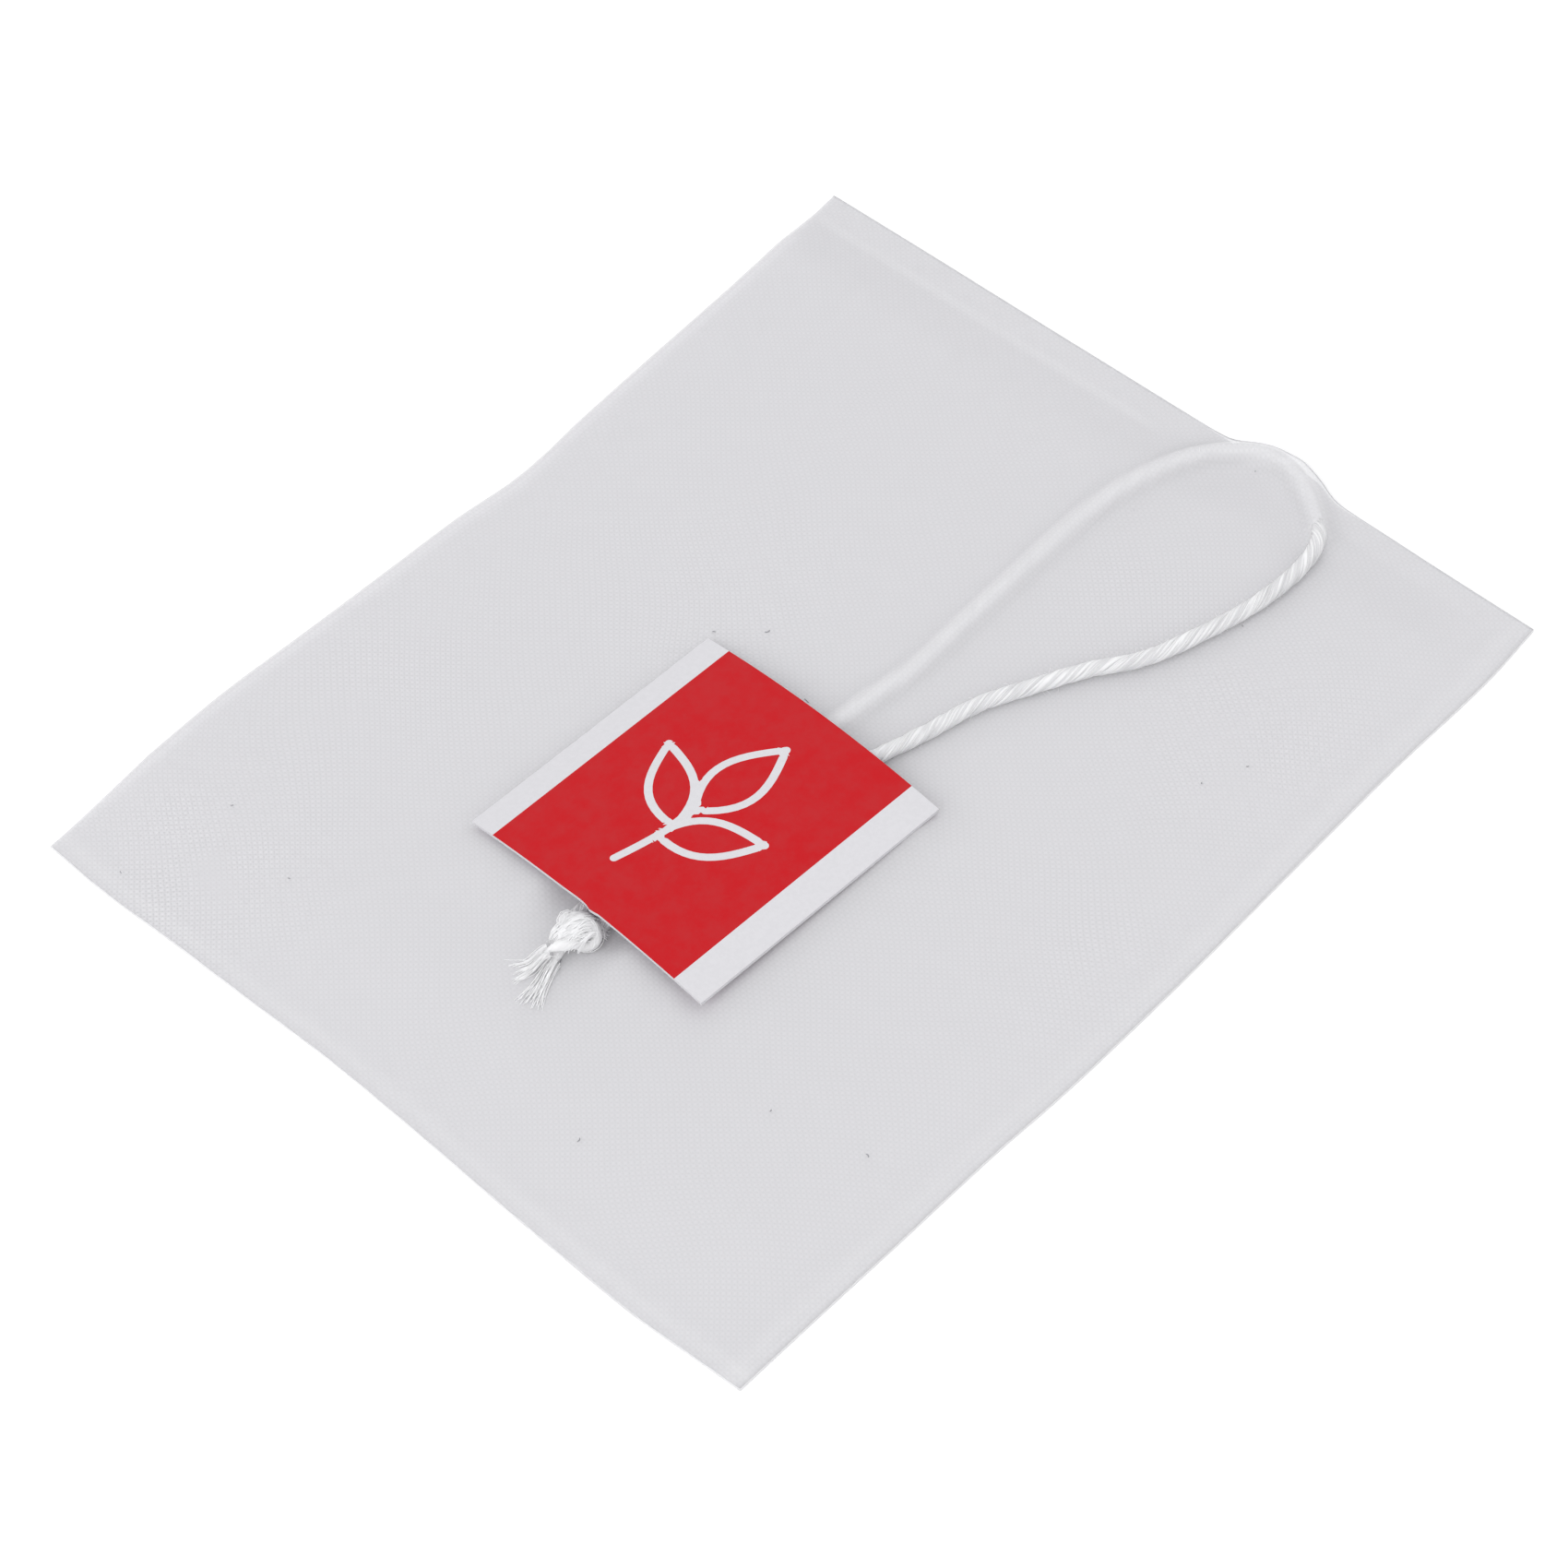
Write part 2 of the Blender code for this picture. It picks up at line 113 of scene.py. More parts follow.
# The knot: across, down from the sealed end and up; its unit in mm; how far its turn is opened and woven;
# the ways into its two tails in knot units from its middle; and where the tails' tips lie, in mm from there
KNOT_PLACE = (1.05, 54.60, 1.56)
KNOT_UNIT = 0.40
KNOT_OPENING = 0.40
KNOT_WEAVE = 0.95
KNOT_POINTS = 36
HIGH_TAIL = [(0.0, -4.1, 1.0), (-1.2, -5.8, 0.2)]
LOW_TAIL = [(0.0, -4.1, -1.1), (0.7, -6.0, -1.1)]
TAIL_TIPS = ((-1.45, -4.3), (1.1, -5.4))

# The tag's middle, its turn, and its underside: the crest's place and height, and its slopes
TAG_X = 0.87
TAG_DROP = 43.48
TAG_TURN = math.radians(-2.35)
TAG_CREST = 2.2
TAG_CREST_Z = 2.25
TAG_SLOPE_ACROSS = -0.015
TAG_SLOPE_ALONG = -0.030


class PouchSettings(PropertyGroup):
    width: FloatProperty(
        name="Width", description="From the fold to the long seam", default=58 * MM, unit="LENGTH")
    length: FloatProperty(
        name="Length", description="From mouth to sealed end", default=70 * MM, unit="LENGTH")
    wall: FloatProperty(
        name="Wall", description="Thickness of the woven sheet", default=0.10 * MM, unit="LENGTH")
    loft: FloatProperty(
        name="Loft", description="Height between the layers", default=0.66 * MM, unit="LENGTH")
    mouth_loft: FloatProperty(
        name="Mouth loft", description="Height between the layers at the mouth", default=0.06 * MM,
        unit="LENGTH")
    seam: FloatProperty(name="Seam", description="Width of the heat seals", default=1.8 * MM, unit="LENGTH")
    tent: FloatProperty(
        name="Tent", description="How far a covered strand lifts the sheet on each side",
        default=2.4 * MM, unit="LENGTH")
    flare: FloatProperty(
        name="Flare", description="How far the mouth's edge curls up", default=0.03 * MM, unit="LENGTH")
    across_pitch: FloatProperty(
        name="Pitch across", description="From thread to thread across the pouch", default=0.263 * MM,
        unit="LENGTH")
    along_pitch: FloatProperty(
        name="Pitch along", description="From thread to thread along the pouch", default=0.222 * MM,
        unit="LENGTH")
    colour: FloatVectorProperty(
        name="Nylon", description="Colour of the mesh", subtype="COLOR", size=3,
        default=(0.885, 0.88, 0.90))
    # Colour of the heat seals and of the light painted beside the edges, over the covered strands and on the
    # cut edges
    pressed: FloatVectorProperty(
        name="Pressed", description="Colour of its pressed lines", subtype="COLOR", size=3,
        default=(0.95, 0.95, 0.955))


class StringSettings(PropertyGroup):
    diameter: FloatProperty(
        name="Diameter", description="Thickness of the string", default=1.0 * MM, unit="LENGTH")
    lay: FloatProperty(
        name="Lay", description="Length of one full turn of the plies", default=5.1 * MM, unit="LENGTH")
    groove: FloatProperty(
        name="Groove", description="Depth between plies as a share of the radius", default=0.13,
        subtype="FACTOR")
    hairs: IntProperty(name="Hairs", description="Loose fibres on each square centimetre", default=240)
    hair_length: FloatProperty(
        name="Hair length", description="The longest loose fibres", default=0.36 * MM, unit="LENGTH")
    knot_strand: FloatProperty(
        name="Knot strand", description="Thickness of the string in the tight knot", default=0.74 * MM,
        unit="LENGTH")
    filaments: IntProperty(name="Filaments", description="Loose filaments in each frayed tail", default=60)
    wisps: IntProperty(name="Wisps", description="Filaments that stray round the knot", default=60)
    veil: IntProperty(name="Veil", description="Filaments that lie over the knot", default=300)
    colour: FloatVectorProperty(
        name="Cotton", description="Colour of the string", subtype="COLOR", size=3,
        default=(0.94, 0.94, 0.945))
    # Painted shade between the filaments and in the grooves between plies
    shade: FloatVectorProperty(
        name="Shade", description="Colour between its filaments", subtype="COLOR", size=3,
        default=(0.66, 0.66, 0.67))
    tuft: FloatVectorProperty(
        name="Tuft", description="Colour of its loose filaments", subtype="COLOR", size=3,
        default=(0.99, 0.99, 0.995))


class TagSettings(PropertyGroup):
    width: FloatProperty(
        name="Width", description="The tag's side across the pouch", default=20.0 * MM, unit="LENGTH")
    height: FloatProperty(
        name="Height", description="The tag's side along the pouch", default=19.6 * MM, unit="LENGTH")
    card: FloatProperty(name="Card", description="Thickness of the card", default=0.25 * MM, unit="LENGTH")
    bow: FloatProperty(
        name="Bow radius", description="Radius of the card's bow", default=60 * MM, unit="LENGTH")
    near_fold: FloatProperty(
        name="Margin by the fold", description="Bare margin", default=1.9 * MM, unit="LENGTH")
    near_seam: FloatProperty(
        name="Margin by the seam", description="Bare margin", default=2.25 * MM, unit="LENGTH")
    stroke: FloatProperty(
        name="Stroke", description="Width of the white lines", default=0.52 * MM, unit="LENGTH")
    paper: FloatVectorProperty(
        name="Card", description="Colour of the card", subtype="COLOR", size=3,
        default=(0.712, 0.705, 0.726))
    # Tinted pink-lilac to colour the shade under the tag's edges purple by bounced light: painted shade
    back: FloatVectorProperty(
        name="Back", description="Colour of the card's back", subtype="COLOR", size=3,
        default=(0.76, 0.62, 0.73))
    ink: FloatVectorProperty(
        name="Ink", description="Colour of the printed band", subtype="COLOR", size=3,
        default=(0.57, 0.011, 0.016))


class StudioSettings(PropertyGroup):
    lens: FloatProperty(name="Lens", description="Focal length in millimetres", default=112.4)
    distance: FloatProperty(name="Distance", description="Camera to target", default=0.2955, unit="LENGTH")
    azimuth: FloatProperty(
        name="Azimuth", description="Camera's bearing", default=math.radians(49.14), subtype="ANGLE")
    elevation: FloatProperty(
        name="Elevation", description="Height", default=math.radians(52.52), subtype="ANGLE")
    roll: FloatProperty(
        name="Roll", description="Turn about the view", default=math.radians(7.32), subtype="ANGLE")
    target: FloatVectorProperty(
        name="Target", description="Where the camera looks", size=3, subtype="TRANSLATION",
        default=(1.615 * MM, -2.514 * MM, 0.0))
    key: FloatProperty(
        name="Key light", description="Power of the softbox behind the bag", default=0.5, unit="POWER")
    fill: FloatProperty(
        name="Fill light", description="Power of the softbox beside the camera", default=2.8, unit="POWER")
    sky: FloatProperty(
        name="Room light", description="Strength of the even light from all sides", default=0.868)


def value_along(points, at):
    """The height at a share of the way, on a smooth curve through (share, height) points."""
    i = 0
    while i < len(points) - 2 and at > points[i + 1][0]:
        i += 1
    before, after = points[max(i - 1, 0)], points[min(i + 2, len(points) - 1)]
    (x0, y0), (x1, y1) = points[i], points[i + 1]
    start_slope = (y1 - before[1]) / (x1 - before[0]) * (x1 - x0)
    end_slope = (after[1] - y0) / (after[0] - x0) * (x1 - x0)
    t = (at - x0) / (x1 - x0)
    rise = t * t * (3 - 2 * t)
    return y0 + (y1 - y0) * rise + start_slope * t * (1 - t) ** 2 - end_slope * t * t * (1 - t)


def smooth_line(points, step):
    """Points about a step apart on a smooth curve through the given ones."""
    line = []
    for i, (start, end) in enumerate(zip(points, points[1:])):
        before, after = points[max(i - 1, 0)], points[min(i + 2, len(points) - 1)]
        reach = (end - start).length / 3
        leaving = start + (end - before).normalized() * reach
        arriving = end - (after - start).normalized() * reach
        count = max(1, round((end - start).length / step))
        line += geometry.interpolate_bezier(start, leaving, arriving, end, count + 1)[:-1]
    return line + [points[-1]]


def eased(share):
    """0 below 0 and 1 above 1, with a level start and end; takes a number or an array."""
    share = np.clip(share, 0.0, 1.0)
    return share * share * (3 - 2 * share)


def hill(value, middle, reach, power=2):
    """1 at a middle, with a soft fall to 0 on both sides of it; takes a number or an array."""
    return np.exp(-((value - middle) / reach) ** power)


def length_of(line):
    return sum((b - a).length for a, b in zip(line, line[1:]))


def bearing(azimuth, elevation):
    """The direction from the bag to a viewer or a lamp, from -Y round towards +X and up, in radians."""
    level = math.cos(elevation)
    return Vector((math.sin(azimuth) * level, -math.cos(azimuth) * level, math.sin(elevation)))


class Outline:
    """The pouch's edges in millimetres, and the step from its frame to the model's."""

    def __init__(self, settings):
        self.half_width = settings.width / MM / 2
        self.half_length = settings.length / MM / 2
        self.middle = Vector(MODEL_MIDDLE)

    def fold_x(self, share):
        return -self.half_width - value_along(FOLD_WAVE, share)

    def seam_x(self, share):
        return self.half_width + value_along(SEAM_WAVE, share)

    def mouth_y(self, share):
        return -self.half_length - value_along(MOUTH_WAVE, share)

    def end_y(self, share):
        x = (2 * share - 1) * self.half_width
        return self.half_length + value_along(END_WAVE, share) + TIP_PULL * hill(x, TIP_X, TIP_REACH, 4)

    def place(self, x, drop, z):
        """A point across, down from the sealed end and up, in the model's frame, in metres."""
        return (Vector((x, self.half_length - drop, z)) - self.middle) * MM

    def route(self, run, step):
        """The string's centre line along one run of its route, in metres."""
        rise = OUTSIDE_Z - INSIDE_Z
        points = [self.place(x, drop, INSIDE_Z + lift * rise) for x, drop, lift in run]
        return smooth_line(points, step)


def put(tree, kind, values=None, **settings):
    """Adds a node; values are its inputs by name or number, each a plain value or another node's output."""
    made = tree.nodes.new(kind)
    for name, value in settings.items():
        setattr(made, name, value)
    for name, value in (values or {}).items():
        if isinstance(value, bpy.types.NodeSocket):
            tree.links.new(value, made.inputs[name])
        else:
            made.inputs[name].default_value = value
    return made


def maths(tree, operation, *values):
    return put(tree, "ShaderNodeMath", dict(enumerate(values)), operation=operation).outputs[0]


def between(tree, value, low, high):
    """Maps low..high to 0..1 with soft ends."""
    values = {"Value": value, "From Min": low, "From Max": high}
    return put(tree, "ShaderNodeMapRange", values, interpolation_type="SMOOTHSTEP").outputs["Result"]


def mixed(tree, share, first, second):
    """A colour between two, each a socket or three numbers."""
    made = put(tree, "ShaderNodeMix", data_type="RGBA")
    for index, value in ((0, share), (6, first), (7, second)):
        if isinstance(value, bpy.types.NodeSocket):
            tree.links.new(value, made.inputs[index])
        elif index:
            made.inputs[index].default_value = (*value, 1.0)
        else:
            made.inputs[index].default_value = value
    return made.outputs[2]


def start_material(name, roughness, **constants):
    """A material, its nodes and its Principled shader, whose constants are set on its own sockets."""
    made = bpy.data.materials.new(name)
    made.use_nodes = True
    shader = made.node_tree.nodes["Principled BSDF"]
    shader.inputs["Roughness"].default_value = roughness
    for socket, value in constants.items():
        shader.inputs[socket.replace("_", " ")].default_value = value
    return made, made.node_tree, shader


def attribute(tree, name, output="Fac"):
    return put(tree, "ShaderNodeAttribute", attribute_name=name).outputs[output]


def bump_into(tree, shader, strength, distance, height):
    """Roughens a shader's surface by a height."""
    values = {"Strength": strength, "Distance": distance, "Height": height}
    tree.links.new(put(tree, "ShaderNodeBump", values).outputs["Normal"], shader.inputs["Normal"])


def noise_of(tree, vector, scale, detail=2.0, roughness=0.5):
    values = {"Vector": vector, "Scale": scale, "Detail": detail, "Roughness": roughness}
    return put(tree, "ShaderNodeTexNoise", values).outputs["Fac"]


def plain_material(name, roughness, colour, **constants):
    made, _, shader = start_material(name, roughness, **constants)
    shader.inputs["Base Color"].default_value = (*colour, 1.0)
    return made


# The weave: its solidity in the open and how much more at the seals and where light is painted, and how far
# each thread shows
SOLIDITY = 0.52
SEAL_AND_LIGHT_SOLIDITY = 0.14
THREAD_EDGES = (0.42, 0.80)
MEAN_COVER = 0.75


def nylon_mesh_material(settings):
    """Sheer plain weave: threads with holes between them, paler and closer at the heat seals and where light
    is painted, with painted shade in its dips.
    """
    made, tree, shader = start_material("nylon_mesh", 0.42, Specular_IOR_Level=0.5, IOR=1.53)
    pressed = attribute(tree, "pressed")
    values = {"Vector": attribute(tree, "weave", "Vector")}
    across, along, patches = put(tree, "ShaderNodeSeparateXYZ", values).outputs
    pitches = (settings.across_pitch, settings.along_pitch)
    waves = [maths(tree, "SINE", maths(tree, "MULTIPLY", run, math.pi * MM / pitch))
             for run, pitch in zip((across, along), pitches)]
    warp, weft = (maths(tree, "ABSOLUTE", wave) for wave in waves)
    crossing = maths(tree, "MULTIPLY", waves[0], waves[1])
    over = maths(tree, "MULTIPLY_ADD", crossing, 0.45, 0.55)
    under = maths(tree, "SUBTRACT", 1.1, over)
    height = maths(tree, "MAXIMUM", maths(tree, "MULTIPLY", warp, over), maths(tree, "MULTIPLY", weft, under))
    cover = between(tree, maths(tree, "MAXIMUM", warp, weft), *THREAD_EDGES)
    weight = maths(tree, "MULTIPLY_ADD", patches, 0.11, 0.015)
    threads = maths(tree, "SUBTRACT", cover, MEAN_COVER)
    grid = maths(tree, "MULTIPLY", maths(tree, "MULTIPLY_ADD", crossing, 0.6, threads), weight)
    pale = maths(tree, "MULTIPLY_ADD", pressed, SEAL_AND_LIGHT_SOLIDITY, SOLIDITY)
    alpha = maths(tree, "ADD", pale, grid)
    strength = maths(tree, "MULTIPLY_ADD", patches, 0.80, 0.10)
    # Painted shade: the weave's dips are 4 % darker than the threads' tops
    dull = tuple(0.96 * part for part in settings.colour)
    woven = mixed(tree, height, dull, settings.colour)
    # Paler at the heat seals; painted highlight lines beside three edges and a painted light band over the
    # covered strands
    colour = mixed(tree, maths(tree, "MULTIPLY", pressed, 0.6), woven, settings.pressed)
    tree.links.new(colour, shader.inputs["Base Color"])
    tree.links.new(alpha, shader.inputs["Alpha"])
    bump_into(tree, shader, strength, 0.02 * MM, height)
    return made


def cotton_material(name, along, bright, dull, depth):
    """Bleached cotton: filaments that follow the twist, with painted highlight along the filaments and on the
    plies' crowns and painted shade between them.
    """
    made, tree, shader = start_material(name, 0.85, Sheen_Weight=0.25, Sheen_Roughness=0.5,
                                        Subsurface_Weight=0.8, Subsurface_Scale=0.6 * MM,
                                        Subsurface_Radius=(1.0, 1.0, 1.0))
    twist, crown = attribute(tree, "twist", "Vector"), attribute(tree, "crown")
    drawn_out = put(tree, "ShaderNodeMapping", {"Vector": twist, "Scale": (4.8, 4.8, along)})
    strands = between(tree, noise_of(tree, drawn_out.outputs["Vector"], 1.0, 1.0), 0.44, 0.58)
    # Painted light and shade: lighter along the filaments and on the plies' crowns, darker between them
    shade = maths(tree, "MULTIPLY_ADD", strands, 0.75, maths(tree, "MULTIPLY", crown, 0.25))
    tree.links.new(mixed(tree, shade, dull, bright), shader.inputs["Base Color"])
    bump_into(tree, shader, depth, 0.08 * MM, strands)
    return made


def filament_material(settings):
    """Single loose fibres."""
    made, tree, shader = start_material("cotton_filament", 0.7, Sheen_Weight=0.2)
    place = put(tree, "ShaderNodeTexCoord").outputs["Object"]
    share = between(tree, noise_of(tree, place, 900.0), 0.35, 0.65)
    tree.links.new(mixed(tree, share, settings.colour, settings.tuft), shader.inputs["Base Color"])
    return made


def paper_bump(tree, shader, strength):
    """The fine grain of paper; also gives the place and the grain for its colour."""
    place = put(tree, "ShaderNodeTexCoord").outputs["Object"]
    grain = noise_of(tree, place, 3200.0, 4.0, 0.65)
    bump_into(tree, shader, strength, 0.02 * MM, grain)
    return place, grain


def card_material(settings):
    """Smooth white card with a faint grain."""
    made, tree, shader = start_material("tag_card", 0.48, Specular_IOR_Level=0.45)
    _, grain = paper_bump(tree, shader, 0.35)
    dull = tuple(0.965 * part for part in settings.paper)
    share = between(tree, grain, 0.35, 0.65)
    tree.links.new(mixed(tree, share, dull, settings.paper), shader.inputs["Base Color"])
    return made


# Pinholes in the print: their size as a share of a cell, and how many of the cells have one
PINHOLE_REACH = 0.030
PINHOLE_SHARE = 0.10


def ink_material(settings):
    """Red print under a thin varnish, mottled, with a few pinholes that show the card."""
    made, tree, shader = start_material("tag_ink", 0.42, Specular_IOR_Level=0.10)
    place, grain = paper_bump(tree, shader, 0.25)
    mottle = between(tree, noise_of(tree, place, 700.0, 5.0, 0.7), 0.30, 0.70)
    pale = tuple(part * 0.93 + 0.012 for part in settings.ink)
    printed = mixed(tree, mottle, pale, settings.ink)
    cells = put(tree, "ShaderNodeTexVoronoi", {"Vector": place, "Scale": 520.0, "Randomness": 1.0})
    dot = maths(tree, "LESS_THAN", cells.outputs["Distance"], PINHOLE_REACH)
    chance = put(tree, "ShaderNodeSeparateXYZ", {0: cells.outputs["Color"]}).outputs[0]
    bare = maths(tree, "MULTIPLY", dot, maths(tree, "GREATER_THAN", chance, 1 - PINHOLE_SHARE))
    tree.links.new(mixed(tree, bare, printed, settings.paper), shader.inputs["Base Color"])
    return made


def shade_tinting_back_material(settings):
    """The card's back, tinted pink-lilac so that the light it bounces tints the shade under the tag's edges
    purple, as painted shade.
    """
    made, tree, shader = start_material("tag_back", 0.6)
    _, grain = paper_bump(tree, shader, 0.35)
    dull = tuple(0.95 * part for part in settings.back)
    tree.links.new(mixed(tree, grain, dull, settings.back), shader.inputs["Base Color"])
    return made


def add_object(name, data, materials=()):
    made = bpy.data.objects.new(name, data)
    bpy.context.scene.collection.objects.link(made)
    for material in materials:
        data.materials.append(material)
    return made


def mesh_from(name, bm):
    mesh = bpy.data.meshes.new(name)
    bm.to_mesh(mesh)
    bm.free()
    mesh.shade_smooth()
    return mesh


def keep_result(made):
    """Turns an object's modifiers into plain mesh."""
    bpy.context.view_layer.update()
    evaluated = made.evaluated_get(bpy.context.evaluated_depsgraph_get())
    mesh = bpy.data.meshes.new_from_object(evaluated)
    old = made.data
    made.modifiers.clear()
    if isinstance(old, bpy.types.Mesh):
        made.data = mesh
        return made
    name = made.name
    bpy.data.objects.remove(made)
    mesh.name = name
    return add_object(name, mesh)


def finish_piece(made, slot, *nodes):
    """Hands a finished piece to the model: its body, and the solids that it stands for, which it hides. The
    slot is not used.
    """
    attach(made, BODY)
    if nodes:
        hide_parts(*nodes)


def follow(line):
    """A turning frame along a line: (point, side, up) at each point, with the least twist."""
    ahead = [(line[min(i + 1, len(line) - 1)] - line[max(i - 1, 0)]).normalized() for i in range(len(line))]
    side = ahead[0].orthogonal().normalized()
    frames = []
    for i, point in enumerate(line):
        if i:
            side = ahead[i - 1].rotation_difference(ahead[i]) @ side
        side = (side - ahead[i] * side.dot(ahead[i])).normalized()
        frames.append((point, side, ahead[i].cross(side)))
    return frames


PLIES = 3
RING_SIDES = 48
# How far the string's thickness wanders along it and round it, and the thickness that a tapered end keeps
SWELL = 0.05
ROUGHNESS = 0.085
TAPERED = 0.25


def ply_radius(angle, groove):
    """The radius at an angle from a ply's crown, as a share of the string's: round plies, sharp grooves."""
    return 1.0 - groove + groove * math.sqrt(abs(math.cos(angle * PLIES / 2)))


def twisted_tube(name, line, diameter, lay, groove, seed, taper=0.0):
    """A twisted string of three plies along a line, closed at its ends, with its twist kept for shading."""
    frames, whole = follow(line), length_of(line)
    bm = bmesh.new()
    twist = bm.verts.layers.float_vector.new("twist")
    crown = bm.verts.layers.float.new("crown")
    rings, run = [], 0.0
    for i, (point, side, up) in enumerate(frames):
        run += (point - frames[max(i - 1, 0)][0]).length
        turn = FULL_TURN * run / lay + 0.5 * noise.noise(Vector((run / MM * 0.12, seed, 0.0)))
        swell = 1.0 + SWELL * noise.noise(Vector((run / MM * 0.45, seed, 5.0)))
        if taper:
            swell *= TAPERED + (1 - TAPERED) * float(eased(min(run, whole - run) / taper))
        ring = []
        for k in range(RING_SIDES):
            own = FULL_TURN * k / RING_SIDES
            share = ply_radius(own, groove)
            strand = Vector((math.cos(own) * 4.0, math.sin(own) * 4.0, run / MM * 0.42 + seed))
            radius = diameter / 2 * share * swell * (1.0 + ROUGHNESS * noise.noise(strand))
            corner = bm.verts.new(point + (side * math.cos(own - turn) + up * math.sin(own - turn)) * radius)
            corner[twist] = (math.cos(own), math.sin(own), run / MM)
            # How near a ply's crown, where the cotton is painted lighter; the grooves get painted shade
            corner[crown] = (share - 1 + groove) / groove if groove else 1.0
            ring.append(corner)
        rings.append(ring)
    for first, second in zip(rings, rings[1:]):
        for k in range(RING_SIDES):
            j = (k + 1) % RING_SIDES
            bm.faces.new((first[k], first[j], second[j], second[k]))
    for ring in (rings[0], rings[-1]):
        middle = bm.verts.new(sum((corner.co for corner in ring), Vector()) / RING_SIDES)
        for k in range(RING_SIDES):
            bm.faces.new((ring[k], middle, ring[(k + 1) % RING_SIDES]))
    bmesh.ops.recalc_face_normals(bm, faces=bm.faces[:])
    return mesh_from(name, bm)


def start_tree(name, **kinds):
    """A Geometry Nodes tree and what it is given: a geometry, a material, and inputs of the named kinds."""
    tree = bpy.data.node_groups.new(name, "GeometryNodeTree")
    for title, kind in {"Geometry": "Geometry", **kinds, "Material": "Material"}.items():
        tree.interface.new_socket(title, in_out="INPUT", socket_type="NodeSocket" + kind)
    tree.interface.new_socket("Geometry", in_out="OUTPUT", socket_type="NodeSocketGeometry")
    return tree, put(tree, "NodeGroupInput").outputs


def end_tree(tree, geometry, material):
    """Ends a tree with real geometry in one material."""
    real = put(tree, "GeometryNodeRealizeInstances", {"Geometry": geometry}).outputs["Geometry"]
    painted = put(tree, "GeometryNodeSetMaterial", {"Geometry": real, "Material": material})
    put(tree, "NodeGroupOutput", {"Geometry": painted.outputs["Geometry"]})
    return tree


def swept(tree, curve, sides, radius):
    """A thin closed body along a curve."""
    values = {"Resolution": sides, "Radius": radius}
    profile = put(tree, "GeometryNodeCurvePrimitiveCircle", values, mode="RADIUS")
    values = {"Curve": curve, "Profile Curve": profile.outputs["Curve"], "Fill Caps": True}
    return put(tree, "GeometryNodeCurveToMesh", values).outputs["Mesh"]


def run_tree(made, tree, **inputs):
    """Runs a tree on an object with inputs by name, and keeps its result as plain mesh."""
    modifier = made.modifiers.new(tree.name, "NODES")
    modifier.node_group = tree
    for item in tree.interface.items_tree:
        if item.item_type == "SOCKET" and item.in_out == "INPUT" and item.name in inputs:
            modifier[item.identifier] = inputs[item.name]
    return keep_result(made)


# A loose fibre one unit long, half its thickness, and the shortest fibre as a share of the longest
FIBRE = {"Start": (0, 0, 0), "Middle": (0.25, 0, 0.5), "End": (0.9, 0.1, 0.6), "Resolution": 4}
FIBRE_RADIUS = 0.02
SHORTEST = 0.35


def fuzz_tree():
    """Loose curved fibres scattered over a surface, where its exposed value lets them grow."""
    tree, given = start_tree("string_fuzz", Density="Float", Seed="Int", Length="Float")
    shown = put(tree, "GeometryNodeInputNamedAttribute", {"Name": "exposed"}, data_type="FLOAT")
    density = maths(tree, "MULTIPLY", given["Density"], shown.outputs["Attribute"])
    values = {"Mesh": given["Geometry"], "Density": density, "Seed": given["Seed"]}
    points = put(tree, "GeometryNodeDistributePointsOnFaces", values, distribute_method="RANDOM").outputs
    strand = put(tree, "GeometryNodeCurveQuadraticBezier", FIBRE)
    hair = swept(tree, strand.outputs["Curve"], 3, FIBRE_RADIUS)
    low = maths(tree, "MULTIPLY", given["Length"], SHORTEST)
    values = {2: low, 3: given["Length"], "Seed": given["Seed"]}
    size = put(tree, "FunctionNodeRandomValue", values, data_type="FLOAT")
    values = {0: (-0.5, -0.5, 0.0), 1: (0.5, 0.5, ROUND)}
    spin = put(tree, "FunctionNodeRandomValue", values, data_type="FLOAT_VECTOR")
    values = {0: points["Rotation"], 1: spin.outputs[0]}
    turned = put(tree, "FunctionNodeRotateRotation", values, rotation_space="LOCAL")
    values = {"Points": points["Points"], "Instance": hair, "Rotation": turned.outputs[0],
              "Scale": size.outputs[1]}
    spread = put(tree, "GeometryNodeInstanceOnPoints", values)
    return end_tree(tree, spread.outputs["Instances"], given["Material"])


def filament_tree():
    """Gives each guide curve a thin round body."""
    tree, given = start_tree("tail_filaments", Thickness="Float")
    radius = maths(tree, "MULTIPLY", given["Thickness"], 0.5)
    return end_tree(tree, swept(tree, given["Geometry"], 4, radius), given["Material"])


def guide_curves(name, guides):
    """An object that holds one straight-sided curve through each line of points, in metres."""
    data = bpy.data.curves.new(name, "CURVE")
    data.dimensions = "3D"
    for guide in guides:
        spline = data.splines.new("POLY")
        spline.points.add(len(guide) - 1)
        for corner, point in zip(spline.points, guide):
            corner.co = (*point, 1.0)
    return add_object(name, data)


# Specks of lint: across, down from the sealed end, and the length of the fibre
LINT = [
    (1.29, 56.3, 0.25), (1.60, 59.5, 0.16), (1.83, 59.3, 0.12), (-0.85, 32.8, 0.40), (-9.3, 43.8, 0.20),
    (-6.4, 30.4, 0.35), (-9.0, 32.5, 0.22), (-23.7, 68.9, 0.18), (-15.5, 62.6, 0.15), (-22.2, 61.1, 0.18),
    (11.0, 64.5, 0.30), (18.0, 55.9, 0.14), (24.3, 54.5, 0.30), (15.7, 11.4, 0.16), (8.3, 1.4, 0.12),
    (4.5, 8.6, 0.30), (22.9, 19.5, 0.16), (21.6, 22.2, 0.12),
]
LINT_RISE = 0.16
LINT_THICKNESS = 0.06 * MM
LINT_COLOUR = (0.30, 0.30, 0.32)
LINT_CORNERS = 5


